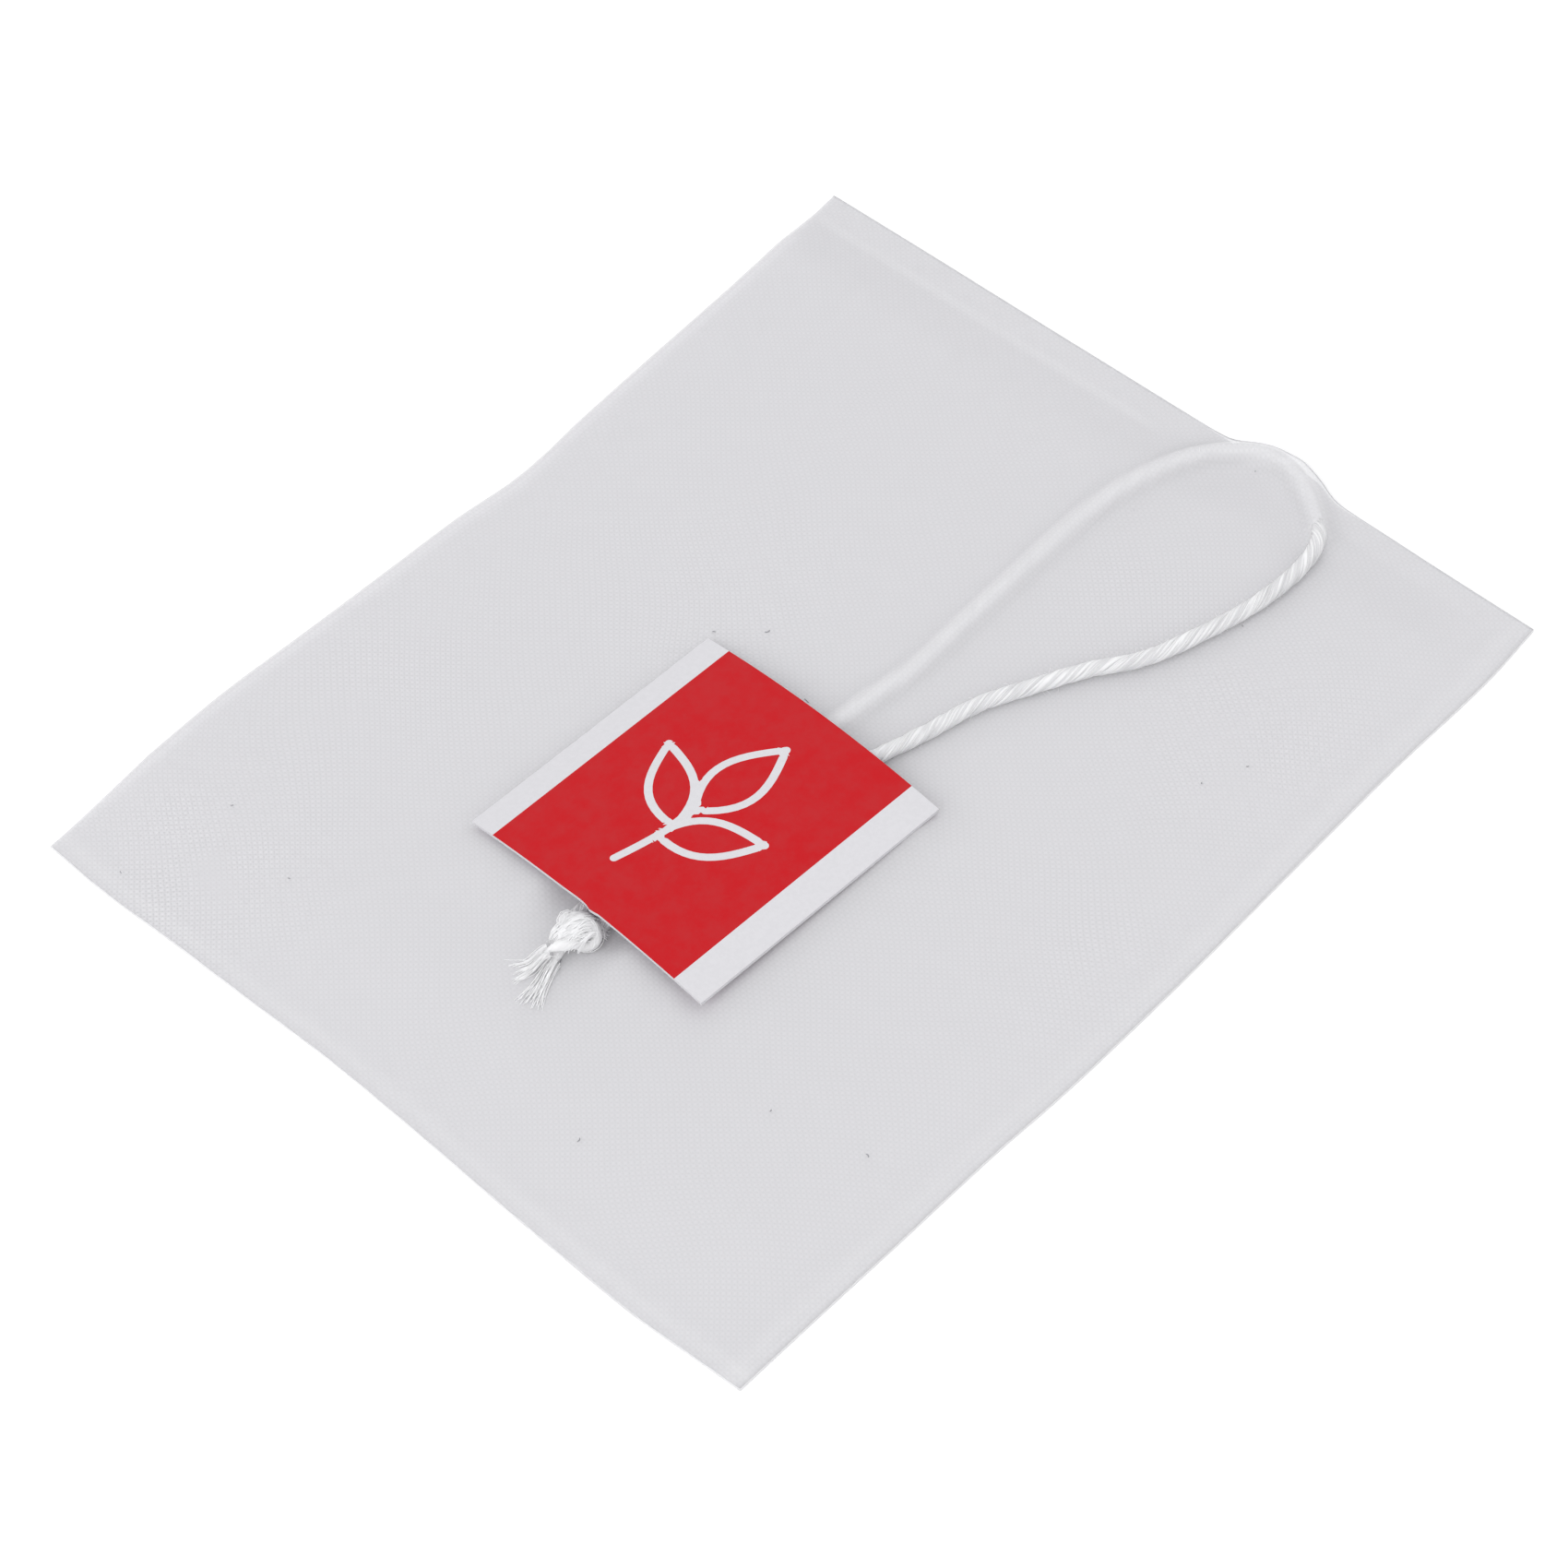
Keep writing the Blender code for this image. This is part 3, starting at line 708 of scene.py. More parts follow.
class TEABAG_OT_add_lint(Operator):
    """Makes the few specks of lint that lie on the pouch"""

    bl_idname = "teabag.add_lint"
    bl_label = "Add lint"

    def execute(self, context):
        outline = Outline(context.scene.teabag_pouch)
        top = context.scene.teabag_pouch.loft / MM + LINT_RISE
        draw = random.Random(5)
        guides = []
        for x, drop, length in LINT:
            heading, bend = draw.uniform(0, ROUND), draw.uniform(-1.2, 1.2)
            guide = []
            for k in range(LINT_CORNERS):
                share = k / (LINT_CORNERS - 1)
                t = (share - 0.5) * length
                a = heading + bend * share
                guide.append(outline.place(x + math.cos(a) * t, drop + math.sin(a) * t, top))
            guides.append(guide)
        grey = plain_material("grey_lint", 0.9, LINT_COLOUR)
        host = guide_curves("pouch_lint", guides)
        lint = run_tree(host, filament_tree(), Thickness=LINT_THICKNESS, Material=grey)
        finish_piece(lint, "nylon_mesh")
        return {"FINISHED"}


# The string's steps, in metres, and where it is covered, in mm: by the layer on the inner strand's side
# of a line that flares at the end, by the end past the near stitch hole, and by the tag
STRING_STEP = 0.16 * MM
INNER_EDGE = 6.4
INNER_LINE = (0.14, 1.9, 4.0, 3.0)
END_HOLE = (12.0, 5.0)
TAG_TOP_DROP = 34.0


def exposed_share(point, outline):
    """1 where fibres may grow on the string and 0 where a layer or the tag lies over it."""
    x = point.x / MM + outline.middle.x
    drop = outline.half_length - point.y / MM - outline.middle.y
    slope, start, flare, fall = INNER_LINE
    inner = x < INNER_EDGE and drop > -0.3 and x < slope * drop + start + flare * math.exp(-drop / fall)
    under_end = x > END_HOLE[0] and drop < END_HOLE[1]
    return 0.0 if inner or under_end or drop > TAG_TOP_DROP else 1.0


def grow_fuzz(name, mesh, exposed, settings, fibre):
    """Loose fibres over a copy of a mesh, by each corner's exposed share."""
    shown = mesh.attributes.new("exposed", "FLOAT", "POINT")
    shown.data.foreach_set("value", exposed)
    host = add_object(name, mesh.copy())
    host.data.materials.clear()
    density = settings.hairs * PER_SQUARE_CM
    return run_tree(host, fuzz_tree(), Density=density, Seed=4, Length=settings.hair_length, Material=fibre)


class TEABAG_OT_add_string(Operator):
    """Makes the twisted cotton string and its loose fibres"""

    bl_idname = "teabag.add_string"
    bl_label = "Add string"

    def execute(self, context):
        settings = context.scene.teabag_string
        outline = Outline(context.scene.teabag_pouch)
        line = outline.route(FRONT_RUN + LOOP_RUN + INNER_RUN + TAG_RUN, STRING_STEP)
        cotton = cotton_material("cotton_string", 0.32, settings.colour, settings.shade, 0.8)
        mesh = twisted_tube("string_cord", line, settings.diameter, settings.lay, settings.groove, 3.0)
        string = add_object("string_cord", mesh, [cotton])
        finish_piece(string, "cotton_string", "string")

        exposed = [exposed_share(corner.co, outline) for corner in mesh.vertices]
        fuzz = grow_fuzz("string_fuzz", mesh, exposed, settings, filament_material(settings))
        finish_piece(fuzz, "cotton_string")
        return {"FINISHED"}


def knot_points(outline):
    """The overhand turn: a trefoil opened at its -Y lobe, whose ends cross and become the tails."""
    first, last = math.pi + KNOT_OPENING, 3 * math.pi - KNOT_OPENING
    turns = []
    for i in range(KNOT_POINTS):
        t = first + (last - first) * i / (KNOT_POINTS - 1)
        x = math.sin(t) + 2 * math.sin(2 * t)
        y = math.cos(t) - 2 * math.cos(2 * t)
        turns.append(Vector((x, y, -KNOT_WEAVE * math.sin(3 * t))))
    middle = outline.place(*KNOT_PLACE)
    points = [Vector(p) for p in HIGH_TAIL[::-1]] + turns + [Vector(p) for p in LOW_TAIL]
    return [middle + point * KNOT_UNIT * MM for point in points]


# A frayed tail in mm: half its width, how high and how low its filaments start, and their corners
TAIL_HALF = 0.42
TAIL_RISE = (-0.34, 0.24)
TAIL_FLOOR = 0.82 * MM
TAIL_CORNERS = 8
FILAMENT = 0.045 * MM


def tail_guides(start, tip, count, draw):
    """Guide points for the loose filaments of one frayed tail: side by side at first, spread at the tips."""
    ahead = tip - start
    ahead.z = 0
    side = Vector((-ahead.y, ahead.x, 0)).normalized()
    guides = []
    for _ in range(count):
        across = draw.uniform(-TAIL_HALF, TAIL_HALF) * MM
        fan = across * 1.2 + draw.uniform(-0.25, 0.25) * MM
        reach = draw.uniform(0.35, 1.0) ** 0.7
        lift = draw.uniform(*TAIL_RISE) * MM
        curl = draw.gauss(0, 0.07) * MM
        points = []
        for k in range(TAIL_CORNERS):
            t = k / (TAIL_CORNERS - 1) * reach
            point = start + ahead * t + side * (across + fan * t * t + curl * math.sin(4.0 * t))
            sunk = start.z + lift * (1 - t) - (start.z - TAIL_FLOOR) * eased(t * 1.6)
            point.z = max(sunk, TAIL_FLOOR)
            point.z += 0.04 * MM * draw.random()
            points.append(point)
        guides.append(points)
    return guides


# No filament reaches above this, as the tag's edge lies over the knot
WISP_TOP = 2.52 * MM


def loose_wisps(line, radius, count, draw):
    """Guide points for single filaments that stray from a string and lie along it."""
    frames = follow(line)
    wisps = []
    for _ in range(count):
        span = draw.randint(8, 22)
        first = draw.randrange(len(frames) - span)
        angle = draw.uniform(0, ROUND)
        drift, rise = draw.uniform(-1.5, 1.5), draw.uniform(0.1, 0.6)
        wisp = []
        for k in range(0, span + 1, 2):
            point, side, up = frames[first + k]
            t = k / span
            turn = angle + drift * t + 2.4 * t
            away = radius * (0.95 + rise * math.sin(math.pi * t))
            place = point + (side * math.cos(turn) + up * math.sin(turn)) * away
            place.z = min(place.z, WISP_TOP)
            wisp.append(place)
        wisps.append(wisp)
    return wisps


# The knot's dome in mm: half its width and length, its height, how far its rim lies below its middle,
# and half the veil's width, at which the filaments run out
DOME_X = 1.55
DOME_Y = 1.85
DOME_Z = 1.42
DOME_RIM = 0.42
VEIL_HALF = 1.4
VEIL_CORNERS = 9


def knot_veil(middle, count, draw):
    """Guide points for the filaments that lie over the knot, from under the tag towards the tails."""
    veil = []
    for _ in range(count):
        across = draw.uniform(-1.0, 1.15)
        slant, depth = draw.gauss(0.18, 0.14), draw.uniform(0.0, 0.20)
        room = math.sqrt(1 - (across / VEIL_HALF) ** 2)
        first, last = draw.uniform(0.3, 1.7) * room, draw.uniform(-1.7, -0.4) * room
        strand = []
        for k in range(VEIL_CORNERS):
            y = first + (last - first) * k / (VEIL_CORNERS - 1)
            x = across + slant * y + 0.08 * math.sin(2.5 * y + across * 9)
            dome = math.sqrt(max(1 - (x / DOME_X) ** 2 - (y / DOME_Y) ** 2, 0.0))
            place = middle + Vector((x, y, DOME_Z * dome - DOME_RIM - depth)) * MM
            place.z = min(place.z, WISP_TOP)
            strand.append(place)
        veil.append(strand)
    return veil


# The knot's strand: its steps, the ends that thin out, and how much shorter and shallower its twist is
KNOT_STEP = 0.10 * MM
KNOT_TAPER = 1.3 * MM
KNOT_TIGHT = 0.6


class TEABAG_OT_add_knot(Operator):
    """Makes the knot in the string's two ends and its frayed tails"""

    bl_idname = "teabag.add_knot"
    bl_label = "Add knot"

    def execute(self, context):
        settings = context.scene.teabag_string
        outline = Outline(context.scene.teabag_pouch)
        points = knot_points(outline)
        line = smooth_line(points, KNOT_STEP)
        # Painted light: the knot gets a lighter, flatter copy of the string's cotton to lift the shade that
        # the tag casts over it
        cotton = cotton_material("cotton_knot", 0.45, settings.tuft, settings.colour, 0.4)
        lay, groove = settings.lay * KNOT_TIGHT, KNOT_TIGHT * settings.groove
        mesh = twisted_tube("knot_turns", line, settings.knot_strand, lay, groove, 9.0, KNOT_TAPER)
        knot = add_object("knot_turns", mesh, [cotton])
        finish_piece(knot, "cotton_string", "string_knot")
        fibre = filament_material(settings)
        exposed = [1.0] * len(mesh.vertices)
        finish_piece(grow_fuzz("knot_fuzz", mesh, exposed, settings, fibre), "cotton_string")

        draw = random.Random(12)
        middle = outline.place(*KNOT_PLACE)
        guides = loose_wisps(line, settings.knot_strand / 2, settings.wisps, draw)
        guides += knot_veil(middle, settings.veil, draw)
        for (start, nearby), (x, y) in zip((points[:2], points[:-3:-1]), TAIL_TIPS):
            tip = middle + Vector((x, y, 0)) * MM
            guides += tail_guides(start.lerp(nearby, 0.4), tip, settings.filaments, draw)
        host = guide_curves("knot_tails", guides)
        tails = run_tree(host, filament_tree(), Thickness=FILAMENT, Material=fibre)
        finish_piece(tails, "cotton_string")
        return {"FINISHED"}


# Where the weave glints most: across, down from the sealed end, reach and strength
EVEN_GLINT = 0.08
GLINTS = [
    (-20.5, 65.5, 6.0, 1.0), (9.5, 14.5, 5.0, 0.30), (21.0, 17.0, 7.0, 0.45), (-11.0, 31.0, 7.0, 0.35),
    (-22.0, 48.0, 7.0, 0.30), (24.0, 36.0, 6.0, 0.25),
]
# The sheet's allowance for the seam, its columns and rows, and its rounded fold
ACROSS_COUNT = 118
ALONG_COUNT = 150
FOLD_RADIUS = 0.42
FOLD_STEPS = 5
# The sheet's slow and fine waves: two crossed ones each, in radians per mm across and along and at the
# start, and their heights
WIDE_WAVES = ((0.19, 0.07, 1.0), (-0.05, 0.11, 0.0))
WIDE_HEIGHT = 0.07
FINE_WAVES = ((0.55, -0.2, 0.0), (0.3, 0.41, 2.0))
FINE_HEIGHT = 0.012
# How far apart the layers' middles are in a seal, in walls, how far they stay shut beside it, as a share of
# it, and how far they then take to open
SEALED_GAP = 1.1
SEAL_SHUT = 0.8
OPENS_OVER = 5.0
MOUTH_OPENS_OVER = 9.0
# The swell beside the fold, and the crinkle in the mouth's edge: height, middle and reach
FOLD_SWELL = (0.16, 1.5, 4.5)
CRINKLE = (0.07, 12.5, 2.6)
# The covered strands: drops at which the sheet is off them and fully over them, the steps along them, their
# radius, the reach of the painted light band over them, and the tent's width as a share of its reach and how
# fast it falls away
NEAR_COVER = (4.8, 1.8)
INNER_COVER = (42.0, 39.2)
STRAND_STEP = 0.25
STRAND_RADIUS = 0.5
BAND_REACH = 0.62
TENT_WIDTH = 0.34
TENT_FALL = 2.6
# The puffs under the tag's edges by the seam and the mouth: their middles and reach on the tag, where and
# over how far they run out, the height by the seam and, by the mouth, at the ends and what the middle adds,
# and how far they stay clear of the strands
SEAM_PUFF = (9.6, 2.6)
MOUTH_PUFF = (-9.6, 2.4)
PUFF_END = 11.5
PUFF_FADE = 4.0
SEAM_PUFF_HEIGHT = 0.60
MOUTH_PUFF_HEIGHTS = (0.50, 0.70)
MOUTH_PUFF_MIDDLE = (0.0, 6.0)
STRANDS_CLEAR = (0.1, 1.9, 2.2)
# How far the back layer rises at the edges by the seam and the mouth
EDGE_RISE = 0.01
# The painted highlight lines beside the end, the seam and the mouth: strength, distance from the edge and
# reach
PAINTED_HIGHLIGHT_LINES = ((0.5, 2.2, 0.42), (0.25, 0.9, 0.5), (0.45, 0.8, 0.55))


def nearest_strand(points, line):
    """For each (x, y) the distance to a strand's centre line, and which of its points is nearest."""
    best, where = np.full(len(points), np.inf), np.zeros(len(points), dtype=int)
    for i, centre in enumerate(line):
        away = np.hypot(points[:, 0] - centre[0], points[:, 1] - centre[1])
        closer = away < best
        best[closer], where[closer] = away[closer], i
    return best, where


class TEABAG_OT_add_pouch(Operator):
    """Makes the folded and sealed sheet of woven mesh"""

    bl_idname = "teabag.add_pouch"
    bl_label = "Add pouch"

    def across_places(self, fold, seam):
        """Where the columns cross a row, close together round the fold."""
        rounding = [FOLD_RADIUS * (1 - math.cos(math.pi / 2 * k / FOLD_STEPS)) for k in range(FOLD_STEPS)]
        start = fold + FOLD_RADIUS
        return [fold + step for step in rounding] + list(np.linspace(start, seam, ACROSS_COUNT))

    def strands(self, outline):
        """The two covered stretches of string: centre line in mm, and how fully the sheet goes over it."""
        covered = []
        near, inner = FRONT_RUN[-1:] + LOOP_RUN[:6], LOOP_RUN[-3:] + INNER_RUN
        for run, (none, full) in ((near, NEAR_COVER), (inner, INNER_COVER)):
            points = [Vector((x, outline.half_length - drop, INSIDE_Z + lift * (OUTSIDE_Z - INSIDE_Z)))
                      for x, drop, lift in run]
            line = np.array(smooth_line(points, STRAND_STEP))
            drop = outline.half_length - line[:, 1]
            covered.append((line, eased((none - drop) / (none - full))))
        return covered

    def under_tag_edges(self, outline, x, y):
        """Where the sheet puffs up to the tag: by two of its edges, and clear of the strands."""
        x, y = x - TAG_X, y - outline.half_length + TAG_DROP
        across = x * math.cos(TAG_TURN) + y * math.sin(TAG_TURN)
        along = y * math.cos(TAG_TURN) - x * math.sin(TAG_TURN)
        by_seam = hill(across, *SEAM_PUFF) * eased((PUFF_END - np.abs(along)) / PUFF_FADE)
        by_mouth = hill(along, *MOUTH_PUFF) * eased((PUFF_END - np.abs(across)) / PUFF_FADE)
        ends, middle = MOUTH_PUFF_HEIGHTS
        by_mouth = by_mouth * (ends + middle * hill(across, *MOUTH_PUFF_MIDDLE))
        strands, half, fade = STRANDS_CLEAR
        clear = eased((np.abs(across - strands) - half) / fade)
        return np.maximum(SEAM_PUFF_HEIGHT * by_seam, by_mouth * clear)

    def crossed(self, waves, x, y):
        (a, b, c), (d, e, f) = waves
        return np.sin(a * x + b * y + c) * np.sin(d * x + e * y + f)

    def heights(self, settings, outline, x, y, edges):
        """The back and the front layer's heights over the places x, y, and how near a strand they are, which
        sets the painted light band over it.
        """
        to_fold, to_seam, to_end, to_mouth = edges
        wall, shut_seal, tent_reach = settings.wall / MM, settings.seam / MM * SEAL_SHUT, settings.tent / MM
        opened = eased((to_seam - shut_seal) / OPENS_OVER) * eased((to_end - shut_seal) / OPENS_OVER)
        past_mouth = eased(to_mouth / MOUTH_OPENS_OVER)
        shut = (settings.loft - settings.mouth_loft) / MM * (1 - past_mouth)
        wide, fine = self.crossed(WIDE_WAVES, x, y), self.crossed(FINE_WAVES, x, y)
        loft = settings.loft / MM - shut - wall + WIDE_HEIGHT * wide + FINE_HEIGHT * fine
        loft = loft + FOLD_SWELL[0] * hill(to_fold, *FOLD_SWELL[1:]) * past_mouth
        gap = wall * SEALED_GAP + loft * opened
        mouth = settings.flare / MM * np.exp(-to_mouth / 1.1) * (0.3 + 0.7 * np.sin(0.16 * x + 1.1) ** 2)
        crinkle = CRINKLE[0] * np.sin(2.9 * x + 0.4 * y) * np.exp(-to_mouth / 2.2) * hill(x, *CRINKLE[1:])
        crinkle += 0.02 * np.sin(1.7 * x - 0.3 * y) * np.exp(-to_mouth / 3.0)
        gap = gap + (mouth + crinkle) * eased(to_seam / 3.0)
        strand = np.zeros(len(x))
        for line, cover in self.strands(outline):
            away, where = nearest_strand(np.stack([x, y], axis=1), line)
            # A pale band is painted over each covered strand, as painted light
            strand = np.maximum(strand, hill(away, 0.0, BAND_REACH, 4) * cover[where])
            target = line[where, 2] + STRAND_RADIUS + wall * 0.6
            tent = 1 / (1 + (away / (tent_reach * TENT_WIDTH)) ** TENT_FALL)
            tent = np.where(away < tent_reach * 2, tent, 0.0)
            gap = gap + np.maximum(target - gap - wall / 2, 0) * tent * cover[where]
        gap = gap + self.under_tag_edges(outline, x, y)
        rounding = np.sqrt(1 - (1 - np.clip(to_fold / FOLD_RADIUS, 0, 1)) ** 2)
        back = wall / 2 + gap * (1 - rounding) * 0.5 + EDGE_RISE * np.exp(-to_seam / 0.6)
        back = back + EDGE_RISE * np.exp(-to_mouth / 1.6) * (0.5 + 0.5 * np.sin(0.22 * x))
        return back, back + gap * rounding, strand

    def glint(self, x, drop):
        """How much the weave catches the light at a place, in patches."""
        spots = sum(share * hill(x, a, reach) * hill(drop, d, reach) for a, d, reach, share in GLINTS)
        broken = 0.75 + 0.9 * noise.fractal(Vector((x * 0.22, drop * 0.22, 3.0)), 0.9, 2.1, 3)
        return min(max(EVEN_GLINT + spots * broken, 0.0), 1.0)

    def pressed(self, x, edges, strand):
        """How pale the sheet is: at the heat seals, with painted light over a covered strand and in faint
        painted highlight lines beside three edges.
        """
        _, to_seam, to_end, to_mouth = edges
        paleness = 0.8 * strand + 0.15 * (1 - eased((min(to_seam, to_end) - 1.4) / 0.8))
        shares = (eased((3.0 - x) / 4.0), 1.0, 1.0)
        for away, share, (height, middle, reach) in zip((to_end, to_seam, to_mouth), shares, PAINTED_HIGHLIGHT_LINES):
            paleness += height * share * hill(away, middle, reach)
        return min(1.0, float(paleness))

    def execute(self, context):
        settings = context.scene.teabag_pouch
        outline = Outline(settings)
        rows = []
        for j in range(ALONG_COUNT + 1):
            crowding = 0.4 + 0.6 * abs(1 - 2 * j / ALONG_COUNT) ** 0.7
            share = 0.5 - 0.5 * math.cos(math.pi * j / ALONG_COUNT) * crowding
            share = min(max(share, 0.0), 1.0)
            fold, seam = outline.fold_x(share), outline.seam_x(share)
            row = []
            for x in self.across_places(fold, seam):
                across = (x - fold) / (seam - fold)
                y = outline.mouth_y(across) * (1 - share) + outline.end_y(across) * share
                row.append((x, y, x - fold, seam - x, outline.end_y(across) - y, y - outline.mouth_y(across)))
            rows.append(row)
        table = np.array(rows)
        flat = table.reshape(-1, 6)
        found = self.heights(settings, outline, flat[:, 0], flat[:, 1], flat[:, 2:].T)
        shape = table.shape[:2]
        back, front, strand = (values.reshape(shape) for values in found)

        bm = bmesh.new()
        weave = bm.verts.layers.float_vector.new("weave")
        pressed = bm.verts.layers.float.new("pressed")
        grid = []
        for j, row in enumerate(table):
            corners = []
            sheet = [(k, back) for k in range(shape[1] - 1, 0, -1)] + [(k, front) for k in range(shape[1])]
            for k, layer in sheet:
                x, y, to_fold = row[k][:3]
                corner = bm.verts.new((Vector((x, y, layer[j, k])) - outline.middle) * MM)
                run = to_fold if layer is front else -to_fold
                drift = noise.noise(Vector((run * 0.13, y * 0.09, 7.0)))
                glint = self.glint(x, outline.half_length - y) if layer is front else 0.1
                corner[weave] = (run + 0.4 * drift, y + 0.006 * run + 0.7 * drift, glint)
                corner[pressed] = self.pressed(x, row[k][2:], strand[j, k] if layer is front else 0.0)
                corners.append(corner)
            grid.append(corners)
        for first, second in zip(grid, grid[1:]):
            for k in range(len(first) - 1):
                bm.faces.new((first[k], first[k + 1], second[k + 1], second[k]))
        bmesh.ops.recalc_face_normals(bm, faces=bm.faces[:])
        # The outer face is woven. The inner face is plain. The cut edges are plain, opaque and painted pale:
        # painted light over the shade under them
        finishes = [
            nylon_mesh_material(settings),
            plain_material("nylon_inside", 0.5, settings.colour, Alpha=0.22),
            plain_material("nylon_edge", 0.6, settings.pressed),
        ]
        cloth = add_object("pouch_cloth", mesh_from("pouch_cloth", bm), finishes)
        wall = cloth.modifiers.new("wall", "SOLIDIFY")
        wall.thickness = settings.wall
        wall.offset = 0.0
        wall.material_offset = 1
        wall.material_offset_rim = 2
        keep_result(cloth)
        finish_piece(cloth, "nylon_mesh", "mesh_pouch")
        return {"FINISHED"}


# The tag's mesh: steps along its edges, of its bow and over its motif, and how far the motif reaches
CUT_STEPS = 60
BOW_STEPS = 20
MOTIF_STEPS = 72
MOTIF_REACH = 7.2
ROUND_SIDES = 18
# A rim's point is kept where it is this far from every stroke's middle, in stroke widths
OUTER_SHARE = 0.475
# The nick over the knot and the ridge that the knot presses up: depth or height, place and reach
NICK = (0.13, 0.75, 0.35)
RIDGE = (0.12, -2.2, 1.1)
RIDGE_FADE = 3.2


def leaf(base, tip, belly, count=14):
    """A pointed leaf's outline from base to tip and back."""
    along = tip - base
    side = Vector((-along.y, along.x)).normalized() * belly
    shares = [(k / count, 1) for k in range(count + 1)] + [(1 - k / count, -1) for k in range(1, count)]
    return [base + along * share + side * sign * math.sin(math.pi * share ** 0.85) for share, sign in shares]


# The tag's plain motif: a stem's points, and each leaf's base, tip and belly
STEM = ((-0.9, -6.3), (-0.45, -4.3), (-0.1, -2.2), (0.0, -0.5))
LEAVES = (
    ((0.0, -0.5), (0.7, 6.4), 1.65), ((-0.1, -2.2), (-5.1, 2.1), 1.40), ((-0.3, -3.3), (4.9, 0.5), 1.35),
)


def sprig():
    """The motif as lines of points in mm on the tag, each with whether it closes."""
    strokes = [(smooth_line([Vector(point).to_3d() for point in STEM], 0.4), False)]
    for base, tip, belly in LEAVES:
        strokes.append(([p.to_3d() for p in leaf(Vector(base), Vector(tip), belly)], True))
    return strokes


def distance_to(point, strokes):
    """How far a place is from the nearest of several lines of points."""
    best = math.inf
    for points, closed in strokes:
        for start, end in zip(points, points[1:] + points[:1] if closed else points[1:]):
            along = end - start
            share = min(max((point - start).dot(along) / max(along.length_squared, 1e-9), 0.0), 1.0)
            best = min(best, (start + along * share - point).length)
    return best


def stroke_rims(strokes, width):
    """The outer edges of wide strokes, as short lines: both sides and a round at each end and corner."""
    rims = []
    for points, closed in strokes:
        count = len(points)
        sides = [[], []]
        for i, point in enumerate(points):
            before = points[(i - 1) % count] if closed else points[max(i - 1, 0)]
            after = points[(i + 1) % count] if closed else points[min(i + 1, count - 1)]
            ahead = (after - before).normalized()
            side = Vector((-ahead.y, ahead.x, 0)) * width / 2
            sides[0].append(point + side)
            sides[1].append(point - side)
            if i in (0, count // 2) or i == count - 1 and not closed:
                turns = [FULL_TURN * k / ROUND_SIDES for k in range(ROUND_SIDES + 1)]
                rims.append([point + Vector((math.cos(t), math.sin(t), 0)) * width / 2 for t in turns])
        rims += [side + side[:1] if closed else side for side in sides]
    kept = []
    for rim in rims:
        outer = [distance_to(point, strokes) > OUTER_SHARE * width for point in rim]
        kept += [[a, b] for a, b, first, second in zip(rim, rim[1:], outer, outer[1:]) if first and second]
    return kept


